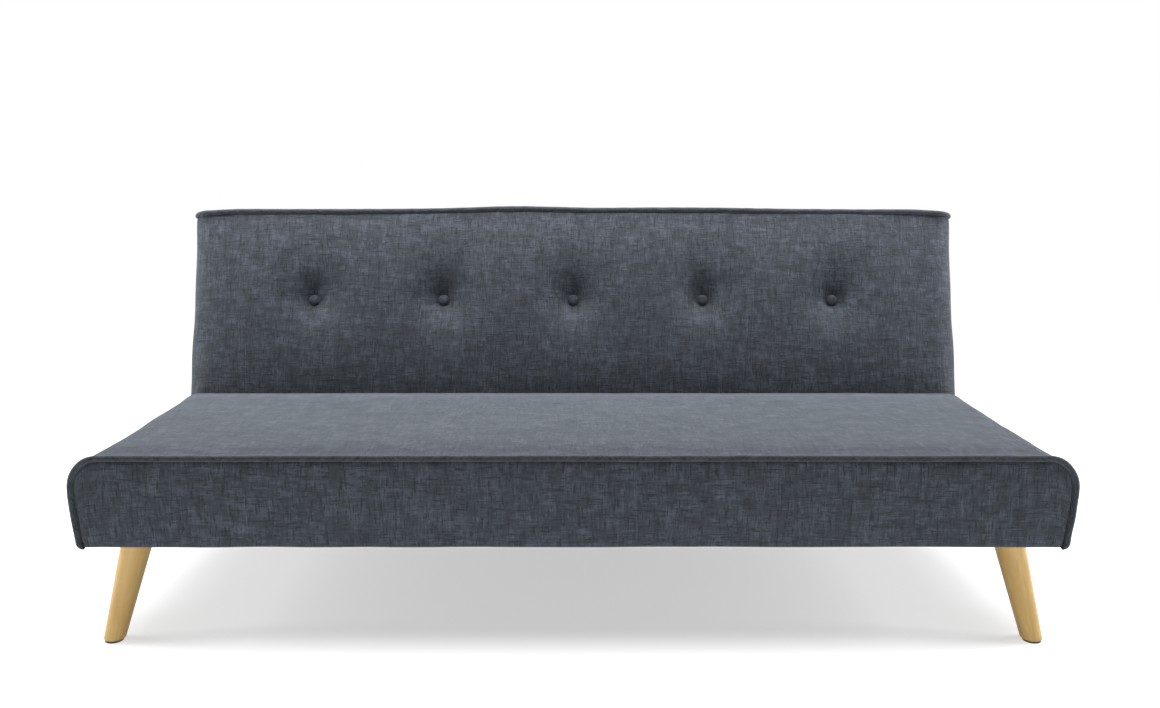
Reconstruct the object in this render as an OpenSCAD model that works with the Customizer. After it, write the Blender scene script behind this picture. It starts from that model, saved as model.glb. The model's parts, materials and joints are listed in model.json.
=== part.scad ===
// Click-clack futon sofa bed: an upholstered seat slab on four splayed oak legs and a button-tufted back
// slab that reclines in notched steps until it lies level with the seat. Millimetres, +Z up, +X to the
// right of someone who faces the sofa, front towards -Y, origin on the floor at the middle of the box.

/* [Seat] */
// Width of the seat over its cover
seat_w = 1776; // [1600:4:2000]
// Depth of the seat slab
seat_d = 530; // [490:5:560]
// Height of the seat's top face above the floor
seat_top = 367; // [350:1:400]
// Thickness of the seat slab
seat_t = 164; // [150:1:175]
// Rounding of the seat's long side edges
seat_edge_r = 50; // [20:1:60]
// Rounding of the seat's rear top edge
seat_rear_r = 15; // [10:1:40]
// Rounding of the lower edges of both slabs
hem_r = 12; // [8:1:12]

/* [Back] */
// Length by which the back falls short of the seat at each end
back_inset = 3; // [2:1:30]
// Length of the back slab, from its lower end to the middle of its top
back_l = 488; // [470:1:540]
// Thickness of the back slab
back_t = 130; // [124:1:134]
// Rounding of the back's side edges
back_edge_r = 40; // [20:1:50]
// Rise of the top edge from its ends to its middle
back_crown = 6; // [0:0.5:12]
// Rounding of the lower end's front edge
toe_r = 25; // [15:1:30]
// Rounding of the lower end's rear edge
heel_r = 20; // [16:1:28]

/* [Upholstery] */
// Thickness of the cover cloth with its lining
cloth = 2; // [1.5:0.1:3]
// Wadding between the timber frames and the cover
wadding = 8; // [6:0.5:12]
// Thickness of the felt pad between the springs and the seat foam
deck_t = 5; // [3:0.5:8]
// Thickness of the back foam in front of its board
back_foam_t = 60; // [52:1:62]
// Diameter of the piping
piping_d = 11; // [6:0.5:12]
// Depth of the seam step that the piping sits in
piping_bed = 6; // [4:0.5:8]

/* [Buttons] */
// Number of tufting buttons
button_n = 5; // [1:2:5]
// Distance between the buttons
button_pitch = 300; // [280:0.5:300]
// Distance of the button row from the back's lower end
button_row = 275; // [265:1:320]
// Diameter of a covered button
button_d = 27; // [18:0.5:32]
// Height of a covered button
button_h = 9; // [6:0.5:12]
// Diameter of the dimple around a button
dimple_d = 150; // [100:1:180]
// Depth of the dimple
dimple_h = 22; // [12:1:30]

/* [Legs] */
// Diameter of a leg at its top
leg_top_d = 57; // [45:1:60]
// Diameter of a leg at the floor
leg_foot_d = 37; // [25:1:44]
// Distance that a foot stands out to the side of its leg's top
splay_side = 50; // [0:1:60]
// Distance that a foot stands forward, or back at the rear, of its leg's top
splay_end = 29; // [0:1:40]
// Distance from the seat's rear to the middle of a rear leg's top
leg_rear_gap = 185; // [175:1:195]
// Thickness of a foot glide
glide_h = 3; // [2:0.5:6]

/* [Steel base] */
// Distance from the seat's side to the middle of a base rail
base_rail_inset = 78; // [76:1:82]
// Width of a base rail tube
tube_w = 40; // [36:1:44]
// Height of a base rail tube
tube_h = 20; // [16:1:20]
// Wall of a base rail tube
tube_wall = 1.5; // [1.2:0.1:2.5]
// Length of a base rail past the middle of the rear leg
tube_overhang = 62; // [60:1:80]
// Thickness of a leg plate
leg_plate_t = 3; // [2:0.5:5]

/* [Timber] */
// Thickness of the seat frame's boards
seat_board = 25; // [20:1:28]
// Height of the seat frame's boards
seat_board_h = 80; // [70:1:82]
// Thickness of the back frame's boards
back_board = 20; // [16:1:22]
// Thickness of the hardboard panel in the back
panel_t = 4; // [3:0.5:5]

/* [Springs] */
// Number of sinuous seat springs
spring_n = 7; // [5:2:9]
// Distance from the seat frame's side to the middle of the outer spring
spring_edge = 170; // [120:5:200]
// Width of a sinuous spring
spring_w = 48; // [40:1:56]
// Wire of the sinuous springs
spring_wire = 3.6; // [3:0.1:4.2]
// Rise of the sinuous springs in their middle
spring_rise = 12; // [4:1:14]

/* [Hinge] */
// Lean of the back from upright, at rest
lean = 17; // [15:0.5:19]
// Angle from rest to the middle notch
middle_notch = 36; // [30:1:42]
// Gap between seat and back at rest
gap_rest = 3; // [2:0.5:6]
// Gap between seat and back when the sofa is a bed
gap_bed = 8; // [7:0.5:12]
// Drop of the back's lower end below the seat's top face, at rest
drop = 60; // [58:1:62]
// Thickness of the hinge plates
plate_t = 5; // [4:0.5:6]
// Diameter of the pivot bolt's shoulder
pivot_d = 12; // [10:0.5:14]
// Radius over the ratchet's teeth
ratchet_r = 34; // [33:0.5:34.5]
// Depth of the ratchet's notches
notch_h = 6; // [5:0.5:6.5]
// Width of a pawl's nose
nose_w = 6.5; // [5:0.5:7]
// Length of a pawl from its pin to its nose
pawl_l = 43; // [42:0.5:44]
// Diameter of a pawl's pin
pawl_pin_d = 8; // [6:0.5:9]

/* [Hidden] */
$fn = 48;

slip = 0.3;              // clearance between soft pieces and what they lie against
tick = 0.1;              // clearance between flat steel faces that slide
far = 4000;              // longer than anything in the part
eps = 0.01;

// Levels and places in the seat
seat_bottom = seat_top - seat_t;
tube_top = seat_bottom + tube_h;
hem_in = max(hem_r - cloth - wadding, 0);
frame_z = seat_bottom + hem_r - sqrt(pow(hem_r - cloth, 2) - pow(hem_in, 2)) + slip;
frame_top = frame_z + seat_board_h;
frame_hw = seat_w / 2 - cloth - wadding;
frame_front = piping_bed + cloth + wadding;
frame_rear = seat_d - cloth - wadding;
spring_pitch = 2 * (frame_hw - spring_edge) / (spring_n - 1);
spring_front = frame_front + seat_board / 2;
spring_rear = frame_rear - seat_board / 2;
clip_wall = 1.2;
clip_top = clip_wall + 0.15;
base_rail_x = seat_w / 2 - base_rail_inset;
base_rail_in = base_rail_x - tube_w / 2;
base_rail_out = base_rail_x + tube_w / 2;
lip = 28;                // width that the covers turn under
cap_t = 2;
cap_plug = 5;
screw_r = 2.5;
plate_screw_x = tube_w / 2 - 7;
plate_screw_y = leg_top_d / 2 + 5.5;
tube_front_y = frame_front + seat_board + cap_t + slip;
leg_front_y = tube_front_y + cap_plug + 1 + screw_r + plate_screw_y;
leg_rear_y = seat_d + leg_rear_gap;
tube_rear_y = leg_rear_y + tube_overhang;

// The hinge's axis is where both the upright and the flat place of the back's lower end can be reached
back_drop_y = seat_d + gap_rest;
back_drop_z = seat_top - drop;
pivot_u = (gap_rest - gap_bed) / 2 + cos(lean) * drop / (2 * (1 - sin(lean)));
pivot_v = drop / 2 - cos(lean) * (gap_rest - gap_bed) / (2 * (1 - sin(lean)));
pivot_y = back_drop_y + pivot_u * sin(lean) + pivot_v * cos(lean);
pivot_z = back_drop_z + pivot_u * cos(lean) - pivot_v * sin(lean);
recline = 90 - lean;

// Places in the back's own frame: x across, v from its face to its rear, u up from its lower end
back_w = seat_w - 2 * back_inset;
back_hw = back_w / 2;
side_hw = back_hw - cloth - wadding;
panel_v = cloth + back_foam_t + slip;
timber_v = panel_v + panel_t;
timber_t = back_t - cloth - slip - timber_v;
bottom_rail_u = heel_r + 10;
top_rail_u = back_l - back_crown - piping_bed - cloth - wadding - back_board;

// The stack of pieces at a hinge, from the inside out: nut, arm, bush flange, bracket, bolt head
bracket_x = base_rail_in - plate_t;
bush_t = 2;              // wall of the bush in a hinge arm
flange_t = 1;
arm_x = bracket_x - flange_t - plate_t;
nut_t = 7;
head_t = 6;
clip_t = 1.2;
pocket_x = arm_x - nut_t - 5;
pocket_w = base_rail_in + head_t + 23 - pocket_x;
pocket_v = 10;
pocket_u = pivot_u + 59;
mechanism_u = pocket_u + cloth + 1;
bracket_r = 20;
bracket_reach = 52;

// Ratchet and pawl, as seen from the side with the hinge's axis at the origin
nose_angle = -100;       // direction of a pawl's nose from the hinge's axis, from +Y towards +Z
root_r = ratchet_r - notch_h;
mid_r = ratchet_r - notch_h / 2;
lift = 0.4;              // clearance of a lifted nose over the ratchet's teeth
nose_tip_r = ratchet_r + lift;
pawl_body_r = nose_tip_r + notch_h + 1;
pawl_t = plate_t - 0.5;
pawl_h = 8;              // height of a pawl's body behind its nose
nose_dir = [cos(nose_angle), sin(nose_angle)];
pawl_dir = [-sin(nose_angle), cos(nose_angle)];
pawl_pin = mid_r * nose_dir + pawl_l * pawl_dir;
fit = 0.05;              // radial clearance of a pin in its bore
shelf_z = -76;
pawl_spring_y = 12;
pawl_spring_d = 2 * (plate_t / 2 + flange_t - slip);
pawl_wire = 1;

// Middle of the whole sofa, front to back
front_y = piping_bed - piping_d;
rear_y = back_drop_y + back_l * sin(lean) + back_t * cos(lean);
mid_y = (front_y + rear_y) / 2;

// Colours
linen = [0.27, 0.29, 0.32];
linen_dark = [0.2, 0.22, 0.25];
oak = [0.76, 0.62, 0.42];
pine = [0.82, 0.7, 0.5];
steel = [0.12, 0.12, 0.13];
zinc = [0.7, 0.71, 0.72];

// ---------------------------------------------------------------- helpers

function unit(v) = v / norm(v);
function arc(c, r, a0, a1, n = 8) =
    [for (i = [0:n]) c + r * [cos(a0 + (a1 - a0) * i / n), sin(a0 + (a1 - a0) * i / n)]];

// Rise of the back's top edge at x, which is 0 at the middle and -back_crown at the ends
function crown(x) = -back_crown * pow(x / back_hw, 2);

// Section of a slab of width w and thickness t, with its face at v = 0. skin pulls every side in,
// bed pulls in the face and the sides alone.
module slab_section(w, t, r_face, skin, bed) {
    hw = w / 2 - skin - bed;
    face = skin + bed;
    rf = max(r_face - face, 1);
    rr = max(hem_r - skin, 1);
    polygon(concat(
        arc([-hw + rf, face + rf], rf, 180, 270),
        arc([hw - rf, face + rf], rf, 270, 360),
        arc([hw - rr, t - skin - rr], rr, 0, 90),
        arc([-hw + rr, t - skin - rr], rr, 90, 180)
    ));
}

// Extrusions of a flat outline across the sofa, and from front to back
module along_x(w) translate([-w / 2, 0, 0]) rotate([90, 0, 90]) linear_extrude(w) children();
module plate_at(x, t) translate([x, 0, 0]) rotate([90, 0, 90]) linear_extrude(t) children();
module along_y(y0, y1) translate([0, y1, 0]) rotate([90, 0, 0]) linear_extrude(y1 - y0) children();

module both_sides() {
    children();
    mirror([1, 0, 0]) children();
}

module box(lo, hi) translate(lo) cube(hi - lo);

// A round bar from p to q, with radius r0 at p and r1 at q
module bar(p, q, r0, r1, turn = 0) {
    d = q - p;
    translate(p) rotate([0, acos(d.z / norm(d)), atan2(d.y, d.x)]) rotate([0, 0, turn])
        cylinder(h = norm(d), r1 = r0, r2 = r1);
}

// A round bar across the sofa, from x0 to x1
module pin_x(x0, x1, r) translate([x0, 0, 0]) rotate([0, 90, 0]) cylinder(h = x1 - x0, r = r);

// A tube of radius r swept along a path; ref is a direction that the path never runs along
module swept(path, r, sides, ref) {
    n = len(path);
    rings = [for (i = [0:n - 1])
        let (
            t = unit(path[min(i + 1, n - 1)] - path[max(i - 1, 0)]),
            s = unit(cross(t, ref)),
            q = cross(s, t)
        )
        for (k = [0:sides - 1]) path[i] + r * (cos(360 * k / sides) * s + sin(360 * k / sides) * q)];
    walls = [for (i = [0:n - 2]) for (k = [0:sides - 1])
        let (a = i * sides + k, b = i * sides + (k + 1) % sides)
        each [[a, a + sides, b + sides], [a, b + sides, b]]];
    start = [for (k = [0:sides - 1]) k];
    end = [for (k = [sides - 1:-1:0]) (n - 1) * sides + k];
    polyhedron(points = rings, faces = concat([start], walls, [end]));
}

// The sofa's frame, the back's frame at rest, and the hinge's axis
module sofa() translate([0, -mid_y, 0]) children();
module on_back() sofa() translate([0, back_drop_y, back_drop_z]) rotate([-lean, 0, 0]) children();
module at_pivot() sofa() translate([0, pivot_y, pivot_z]) children();

// ---------------------------------------------------------------- seat

// The seat slab's form, pulled in by skin
module seat_form(skin) {
    intersection() {
        union() {
            seat_length(piping_bed + skin, seat_d - skin) slab_section(seat_w, seat_t, seat_edge_r, skin, 0);
            seat_length(skin, piping_bed + skin + eps)
                slab_section(seat_w, seat_t, seat_edge_r, skin, piping_bed);
        }
        along_x(far) polygon(concat(
            [[-eps, 0], [seat_d - skin, 0]],
            arc([seat_d - seat_rear_r, seat_top - seat_rear_r], seat_rear_r - skin, 0, 90),
            [[-eps, seat_top - skin]]
        ));
    }
}
module seat_length(y0, y1) translate([0, 0, seat_top]) along_y(y0, y1) mirror([0, 1]) children();

module seat_cover() sofa() color(linen) difference() {
    seat_form(0);
    seat_form(cloth);
    box([-frame_hw + lip, lip, seat_bottom - 1], [frame_hw - lip, seat_d - lip, frame_z + eps]);
    both_sides() box(
        [base_rail_in - slip, seat_d - lip - 1, seat_bottom - 1],
        [base_rail_out + slip, seat_d + 1, tube_top + slip]
    );
}

module seat_piping() {
    in = piping_bed - piping_d / 2;
    r = seat_edge_r - in;
    hw = seat_w / 2 - in;
    outline = concat(
        [[-hw, seat_bottom + hem_r]],
        [for (p = arc([-hw + r, seat_top - in - r], r, 180, 90)) p],
        [for (p = arc([hw - r, seat_top - in - r], r, 90, 0)) p],
        [[hw, seat_bottom + hem_r]]
    );
    sofa() color(linen_dark) swept([for (p = outline) [p.x, in, p.y]], piping_d / 2 - 0.05, 10, [0, 1, 0]);
}

// Height of the sinuous springs' middle line at y
function spring_z(y) =
    let (half = (spring_rear - spring_front) / 2, s = (y - spring_front - half) / half)
    frame_top + spring_wire / 2 + spring_rise * (1 - s * s);

// Outline, seen from the side, of everything below a sheet that lies on the springs
function below_deck(lift, y0, y1, n = 12) = concat(
    [[y0, 0]],
    [for (i = [0:n]) let (
        s = spring_front + (spring_rear - spring_front) * i / n,
        y = i == 0 ? y0 : i == n ? y1 : s
    ) [y, spring_z(s) + spring_wire / 2 + lift]],
    [[y1, 0]]
);

module seat_foam() sofa() color("khaki") difference() {
    seat_form(cloth + slip);
    intersection() {
        along_x(far) polygon(below_deck(clip_top + deck_t + 2 * slip, frame_front - slip, frame_rear + slip));
        box([-frame_hw - slip, 0, 0], [frame_hw + slip, seat_d, seat_top]);
    }
    both_sides() box(
        [base_rail_in - slip, seat_d - lip - wadding, seat_bottom - 1],
        [base_rail_out + slip, seat_d, tube_top + slip]
    );
}

module deck_pad() sofa() color("dimgray") intersection() {
    difference() {
        along_x(2 * frame_hw) polygon(below_deck(clip_top + deck_t + slip, frame_front, frame_rear));
        along_x(far) polygon(below_deck(clip_top + slip, frame_front - 1, frame_rear + 1));
    }
    box([-frame_hw, 0, frame_top], [frame_hw, seat_d, seat_top]);
}

// One sinuous spring: straights across, joined by round turns, on a rising arc
module sinuous_spring(x) {
    turns = 15;
    step = (spring_rear - spring_front) / turns;
    hw = spring_w / 2;
    corner = step * 0.3;
    path = [for (i = [0:turns]) let (y = spring_front + step * i, side = i % 2 == 0 ? -1 : 1) each
        i == 0 ? [[-side * hw * 0.6, y], [side * (hw - corner), y], [side * hw, y + corner]] :
        i == turns ? [[-side * hw, y - corner], [-side * (hw - corner), y], [side * hw * 0.6, y]] :
        [
            [-side * hw, y - corner], [-side * (hw - corner), y],
            [side * (hw - corner), y], [side * hw, y + corner]
        ]
    ];
    swept([for (p = path) [x + p.x, p.y, spring_z(p.y)]], spring_wire / 2, 5, [0, 0, 1]);
}

module each_spring() for (i = [0:spring_n - 1]) let (x = (i - (spring_n - 1) / 2) * spring_pitch) {
    $x = x;
    children();
}

module seat_springs() sofa() color(zinc) each_spring() sinuous_spring($x);

// Clips that hook the springs' ends to the front and rear rails
module spring_clips() {
    inner = spring_wire / 2 + 0.15;
    sofa() color(zinc) each_spring() for (y = [spring_front, spring_rear])
        translate([$x, y, frame_top + spring_wire / 2]) along_x(14) difference() {
            translate([-inner - clip_wall, -spring_wire / 2])
                square([2 * (inner + clip_wall), spring_wire + clip_top]);
            translate([-inner, -spring_wire / 2 - 1])
                square([2 * inner, spring_wire + 1 + clip_top - clip_wall]);
        }
}

// Timber frame of the seat
module seat_front_rail() sofa() color(pine)
    box([-frame_hw, frame_front, frame_z], [frame_hw, frame_front + seat_board, frame_top]);

module seat_rear_rail() sofa() color(pine) difference() {
    box([-frame_hw, frame_rear - seat_board, frame_z], [frame_hw, frame_rear, frame_top]);
    both_sides() box(
        [base_rail_in, frame_rear - seat_board - 1, 0],
        [base_rail_out, frame_rear + 1, tube_top]
    );
}

module seat_side_rails() sofa() color(pine) both_sides() box(
    [frame_hw - seat_board, frame_front + seat_board, frame_z],
    [frame_hw, frame_rear - seat_board, frame_top]
);

runner_h = frame_top - tube_top - 10;
module seat_runners() sofa() color(pine) difference() {
    both_sides() box(
        [base_rail_x - seat_board / 2, frame_front + seat_board, tube_top],
        [base_rail_x + seat_board / 2, frame_rear - seat_board, tube_top + runner_h]
    );
    each_runner_bolt() cylinder(h = 2 * runner_bolt_l, d = runner_bolt_d, center = true);
}

module seat_stretchers() sofa() color(pine) for (s = [-1, 1])
    translate([s * spring_pitch * 1.5 - seat_board / 2, frame_front + seat_board, frame_z])
        cube([seat_board, frame_rear - frame_front - 2 * seat_board, seat_board_h / 2]);

module corner_blocks() sofa() color(pine) both_sides() for (end = [0, 1]) {
    y = end == 0 ? frame_front + seat_board : frame_rear - seat_board;
    leg = base_rail_x + seat_board / 2;
    way = end == 0 ? 1 : -1;
    size = frame_hw - seat_board - base_rail_out - 1;
    translate([0, 0, tube_top + 2]) linear_extrude(seat_board_h / 2) polygon([
        [frame_hw - seat_board, y], [frame_hw - seat_board, y + way * size], [frame_hw - seat_board - size, y]
    ]);
}

module dust_cloth() sofa() color("black") box(
    [-base_rail_in + slip, lip + slip, frame_z - cloth / 2],
    [base_rail_in - slip, seat_d - lip - slip, frame_z]
);

// ---------------------------------------------------------------- steel base

runner_bolt_l = tube_h + 20;
runner_bolt_d = 6;
runner_head_d = 11;
runner_head_h = 3;
runner_bolt_y = 110;     // distance of the first bolt from the front rail
runner_bolt_pitch = 120;
module each_runner_bolt() both_sides() for (i = [0:2])
    translate([base_rail_x, frame_front + seat_board + runner_bolt_y + i * runner_bolt_pitch, seat_bottom])
        children();

// The middle of each leg's top and of its foot
function leg_y(rear) = rear ? leg_rear_y : leg_front_y;
function leg_head(side, rear) = [side * base_rail_x, leg_y(rear), seat_bottom - leg_plate_t];
function leg_foot(side, rear) =
    [side * (base_rail_x + splay_side), leg_y(rear) + (rear ? 1 : -1) * splay_end, 0];
module each_leg() for (side = [-1, 1]) for (rear = [false, true]) {
    $head = leg_head(side, rear);
    $foot = leg_foot(side, rear);
    children();
}

module each_plate_screw() each_leg() for (sx = [-1, 1]) for (sy = [-1, 1])
    translate($head + [sx * plate_screw_x, sy * plate_screw_y, 0]) children();

boss_r = 9;
boss_h = tube_h / 2;
hanger_d = 8;
hanger_l = 38;           // length of a hanger bolt inside its leg
plate_margin = 8;        // leg plate past the tube, at each side
module base_rails() sofa() color(steel) difference() {
    both_sides() box([base_rail_in, tube_front_y, seat_bottom], [base_rail_out, tube_rear_y, tube_top]);
    both_sides() box(
        [base_rail_in + tube_wall, tube_front_y - 1, seat_bottom + tube_wall],
        [base_rail_out - tube_wall, tube_rear_y + 1, tube_top - tube_wall]
    );
    each_runner_bolt() cylinder(h = 3 * tube_h, d = runner_bolt_d, center = true);
    each_plate_screw() cylinder(h = tube_h, r = screw_r, center = true);
    each_leg() translate($head) cylinder(h = tube_h, r = boss_r + 4, center = true);
}

module rail_end_caps() sofa() color("black") both_sides() for (rear = [false, true])
    translate([base_rail_x, rear ? tube_rear_y : tube_front_y, seat_bottom + tube_h / 2])
        mirror([0, rear ? 0 : 1, 0]) {
            translate([-tube_w / 2, 0, -tube_h / 2]) cube([tube_w, cap_t, tube_h]);
            translate([-tube_w / 2 + tube_wall, -cap_plug, -tube_h / 2 + tube_wall])
                cube([tube_w - 2 * tube_wall, cap_plug + eps, tube_h - 2 * tube_wall]);
        }

cross_gap = 36;          // from the middle of the rear leg to the cross tube
cross_y = leg_rear_y + cross_gap;
module rear_cross_tube() sofa() color(steel) difference() {
    box([-base_rail_in, cross_y, seat_bottom], [base_rail_in, cross_y + tube_h, tube_top]);
    box(
        [-far, cross_y + tube_wall, seat_bottom + tube_wall],
        [far, cross_y + tube_h - tube_wall, tube_top - tube_wall]
    );
}

module leg(side, rear) {
    head = leg_head(side, rear);
    foot = leg_foot(side, rear);
    d = unit(foot - head);
    sofa() color(oak) difference() {
        intersection() {
            bar(head - 20 * d, foot + 20 * d, leg_top_d / 2 + 2, leg_foot_d / 2 - 2, turn = 45);
            box([-far, -far, glide_h], [far, far, head.z]);
        }
        bar(head - 20 * d, head + (hanger_l + 2) * d, hanger_d / 2, hanger_d / 2, turn = 45);
    }
}

module glide(side, rear) {
    foot = leg_foot(side, rear);
    sofa() color("black") translate(foot) cylinder(h = glide_h, d = leg_foot_d - 4);
}

module leg_plates() sofa() color(steel) difference() {
    union() {
        each_leg() translate($head + [-tube_w / 2 - plate_margin, -plate_screw_y - plate_margin - 2, 0])
            cube([tube_w + 2 * plate_margin, 2 * (plate_screw_y + plate_margin + 2), leg_plate_t]);
        each_leg() intersection() {
            bar($head - boss_h * 1.5 * unit($foot - $head), $head, boss_r, boss_r);
            translate($head) translate([-tube_w, -tube_w, 0])
                cube([2 * tube_w, 2 * tube_w, leg_plate_t + boss_h]);
        }
    }
    each_leg() bar($head - 3 * boss_h * unit($foot - $head), $foot, hanger_d / 2, hanger_d / 2);
    each_plate_screw() cylinder(h = 3 * leg_plate_t, r = screw_r, center = true);
}

module leg_plate_screws() sofa() color(zinc) each_plate_screw() {
    cylinder(h = leg_plate_t + 6, r = screw_r);
    translate([0, 0, -2.5]) cylinder(h = 2.5, r = screw_r + 2);
}

module hanger_bolts() sofa() color(zinc) each_leg() {
    d = unit($foot - $head);
    bar($head - (leg_plate_t + boss_h - 3) * d, $head + hanger_l * d, hanger_d / 2, hanger_d / 2);
}

module runner_bolts() sofa() color(zinc) each_runner_bolt() {
    cylinder(h = runner_bolt_l, d = runner_bolt_d);
    translate([0, 0, -runner_head_h]) cylinder(h = runner_head_h, d = runner_head_d);
}

pad_l = 40;
pad_w = 30;
module rest_pads() sofa() color("black") both_sides() box(
    [base_rail_x - pad_w / 2, leg_rear_y - pad_l / 2, tube_top],
    [base_rail_x + pad_w / 2, leg_rear_y + pad_l / 2, seat_top - back_t - slip]
);

// ---------------------------------------------------------------- hinge, fixed half

bracket_foot_z = seat_bottom - pivot_z;
module bracket_outline() {
    difference() {
        union() {
            circle(r = bracket_r);
            translate(pawl_pin) circle(r = pawl_pin_d / 2 + 8);
            polygon([
                [-bracket_r, 0], [-bracket_r, bracket_foot_z], [bracket_reach, bracket_foot_z],
                [bracket_reach, pawl_pin.y], [pawl_pin.x, pawl_pin.y + 10], [bracket_r, 0]
            ]);
        }
        circle(d = pivot_d);
        translate(pawl_pin) circle(d = pawl_pin_d);
    }
}

shelf_t = 3;
module bracket() at_pivot() color(steel) {
    plate_at(bracket_x, plate_t) bracket_outline();
    translate([arm_x - 1, pawl_spring_y - 8, shelf_z - shelf_t])
        cube([bracket_x - arm_x + 1 + eps, 16, shelf_t]);
}
module bracket_right() bracket();
module bracket_left() mirror([1, 0, 0]) bracket();

module pivot_bolts() at_pivot() color(zinc) both_sides() {
    pin_x(arm_x - tick, base_rail_in, pivot_d / 2);
    pin_x(arm_x - tick - nut_t - 2, arm_x - tick, pivot_d / 2 - 2);
    pin_x(base_rail_in, base_rail_in + head_t, pivot_d / 2 + 5);
}

module pivot_nuts() at_pivot() color(zinc) both_sides() difference() {
    translate([arm_x - tick - nut_t, 0, 0]) rotate([0, 90, 0]) cylinder(h = nut_t, r = 9.5, $fn = 6);
    pin_x(0, far, pivot_d / 2 - 2);
}

module pawl_pins() at_pivot() color(zinc) both_sides() translate([0, pawl_pin.x, pawl_pin.y]) {
    pin_x(arm_x - 4, base_rail_in, pawl_pin_d / 2);
    pin_x(base_rail_in, base_rail_in + 3, pawl_pin_d / 2 + 3);
}

module pawl_clips() at_pivot() color(steel) both_sides() translate([0, pawl_pin.x, pawl_pin.y]) difference() {
    pin_x(arm_x + 0.1 - clip_t, arm_x + 0.1, pawl_pin_d / 2 + 3);
    pin_x(0, far, pawl_pin_d / 2);
    translate([0, -1.5, 0]) cube([far, 3, 20]);
}

// Lever with a boss on its pin and a nose that points at the hinge's axis, drawn with the nose along x
module pawl_outline() {
    half = nose_w / 2;
    difference() {
        union() {
            translate([mid_r, pawl_l]) circle(r = pawl_pin_d / 2 + 5);
            polygon([
                [pawl_body_r, -half - 0.5], [pawl_body_r + pawl_h, -half],
                [pawl_body_r + pawl_h, pawl_l * 0.6],
                [mid_r + 5, pawl_l + 2], [mid_r, pawl_l - 1], [pawl_body_r, pawl_l * 0.6],
                [pawl_body_r, half + 0.5], [nose_tip_r, half - 0.6], [nose_tip_r, -half + 0.6]
            ]);
        }
        translate([mid_r, pawl_l]) circle(d = pawl_pin_d + 2 * fit);
    }
}
module pawl() at_pivot() color(zinc) plate_at(arm_x + 0.25, pawl_t) rotate(nose_angle) pawl_outline();
module pawl_right() pawl();
module pawl_left() mirror([1, 0, 0]) pawl();

// Height of a pawl's lower edge at y
function pawl_under(y) =
    let (r = pawl_body_r + pawl_h, t = (y - r * nose_dir.x) / pawl_dir.x)
    r * nose_dir.y + t * pawl_dir.y;

// Compression spring that pushes a pawl's nose up into the ratchet
module pawl_spring() {
    turns = 6;
    steps = 10;
    r = (pawl_spring_d - pawl_wire) / 2;
    bottom = shelf_z + pawl_wire / 2 + tick;
    top = pawl_under(pawl_spring_y + pawl_spring_d / 2) - pawl_wire / 2 - slip;
    h = top - bottom;
    path = [for (i = [0:turns * steps]) let (a = 360 * i / steps)
        [r * cos(a), r * sin(a), bottom + h * i / (turns * steps)]];
    at_pivot() color(zinc) translate([arm_x + plate_t / 2, pawl_spring_y, 0])
        swept(path, pawl_wire / 2, 6, [0, 0, 1]);
}
module pawl_spring_right() pawl_spring();
module pawl_spring_left() mirror([1, 0, 0]) pawl_spring();

// ---------------------------------------------------------------- back

// The hinge's pocket in the back's lower corner, grown by skin
module pocket(skin) both_sides() box(
    [pocket_x - skin, pocket_v - skin, -far],
    [pocket_x + pocket_w + skin, far, pocket_u + skin]
);

module each_button() for (i = [0:button_n - 1])
    translate([(i - (button_n - 1) / 2) * button_pitch, 0, button_row]) children();

module dimple(skin) {
    slope = (dimple_d - button_d) / 2 / dimple_h;
    ahead = 2;
    translate([0, skin * 1.06 - ahead, 0]) rotate([-90, 0, 0])
        cylinder(h = dimple_h + ahead, r1 = dimple_d / 2 + ahead * slope, r2 = button_d / 2);
}

// Everything below the back's top edge, lowered by cut
module below_crown(cut, n = 16) along_y(-eps, back_t + eps) polygon(concat(
    [for (i = [0:n]) let (x = back_hw * (1 - 2 * i / n)) [x, back_l - cut + crown(x)]],
    [[-back_hw, -eps], [back_hw, -eps]]
));

// The back slab's form, pulled in by skin
module back_form(skin) {
    difference() {
        intersection() {
            union() {
                intersection() {
                    linear_extrude(back_l) slab_section(back_w, back_t, back_edge_r, skin, 0);
                    below_crown(piping_bed + skin);
                }
                intersection() {
                    linear_extrude(back_l) slab_section(back_w, back_t, back_edge_r, skin, piping_bed);
                    below_crown(skin);
                }
            }
            along_x(far) polygon(concat(
                arc([toe_r, toe_r], toe_r - skin, 180, 270),
                arc([back_t - heel_r, heel_r], heel_r - skin, 270, 360),
                [[back_t - skin, back_l + 1], [skin, back_l + 1]]
            ));
        }
        pocket(skin);
        each_button() dimple(skin);
    }
}

arm_v0 = pivot_v - 15.5;
arm_v1 = pivot_v + 16.5;
arm_w = 30;
arm_end = 14;            // arm past the middle of its last bolt
arm_bolt_pitch = 32;
arm_bolt_d = 8;
arm_nut_h = 6.5;
module arm_slot() both_sides() box(
    [arm_x - slip, arm_v0 - slip, pocket_u - 1],
    [arm_x + plate_t + slip, timber_v + eps, arm_bolt_u(2) + 15]
);

module back_cover() on_back() color(linen) difference() {
    back_form(0);
    back_form(cloth);
    box([-side_hw + lip, back_t - cloth - 1, lip + 15], [side_hw - lip, far, top_rail_u + 5]);
    both_sides() box(
        [pocket_x - cloth - 1, back_t - cloth - 1, 0],
        [pocket_x + pocket_w + cloth + 1, far, pocket_u]
    );
    both_sides() box(
        [arm_x - slip, arm_v0 - slip, pocket_u - 1],
        [arm_x + plate_t + slip, arm_v1 + slip, pocket_u + cloth + 1]
    );
    each_button() rotate([-90, 0, 0]) cylinder(h = back_t / 2, d = cord_d + 0.5);
}

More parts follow.
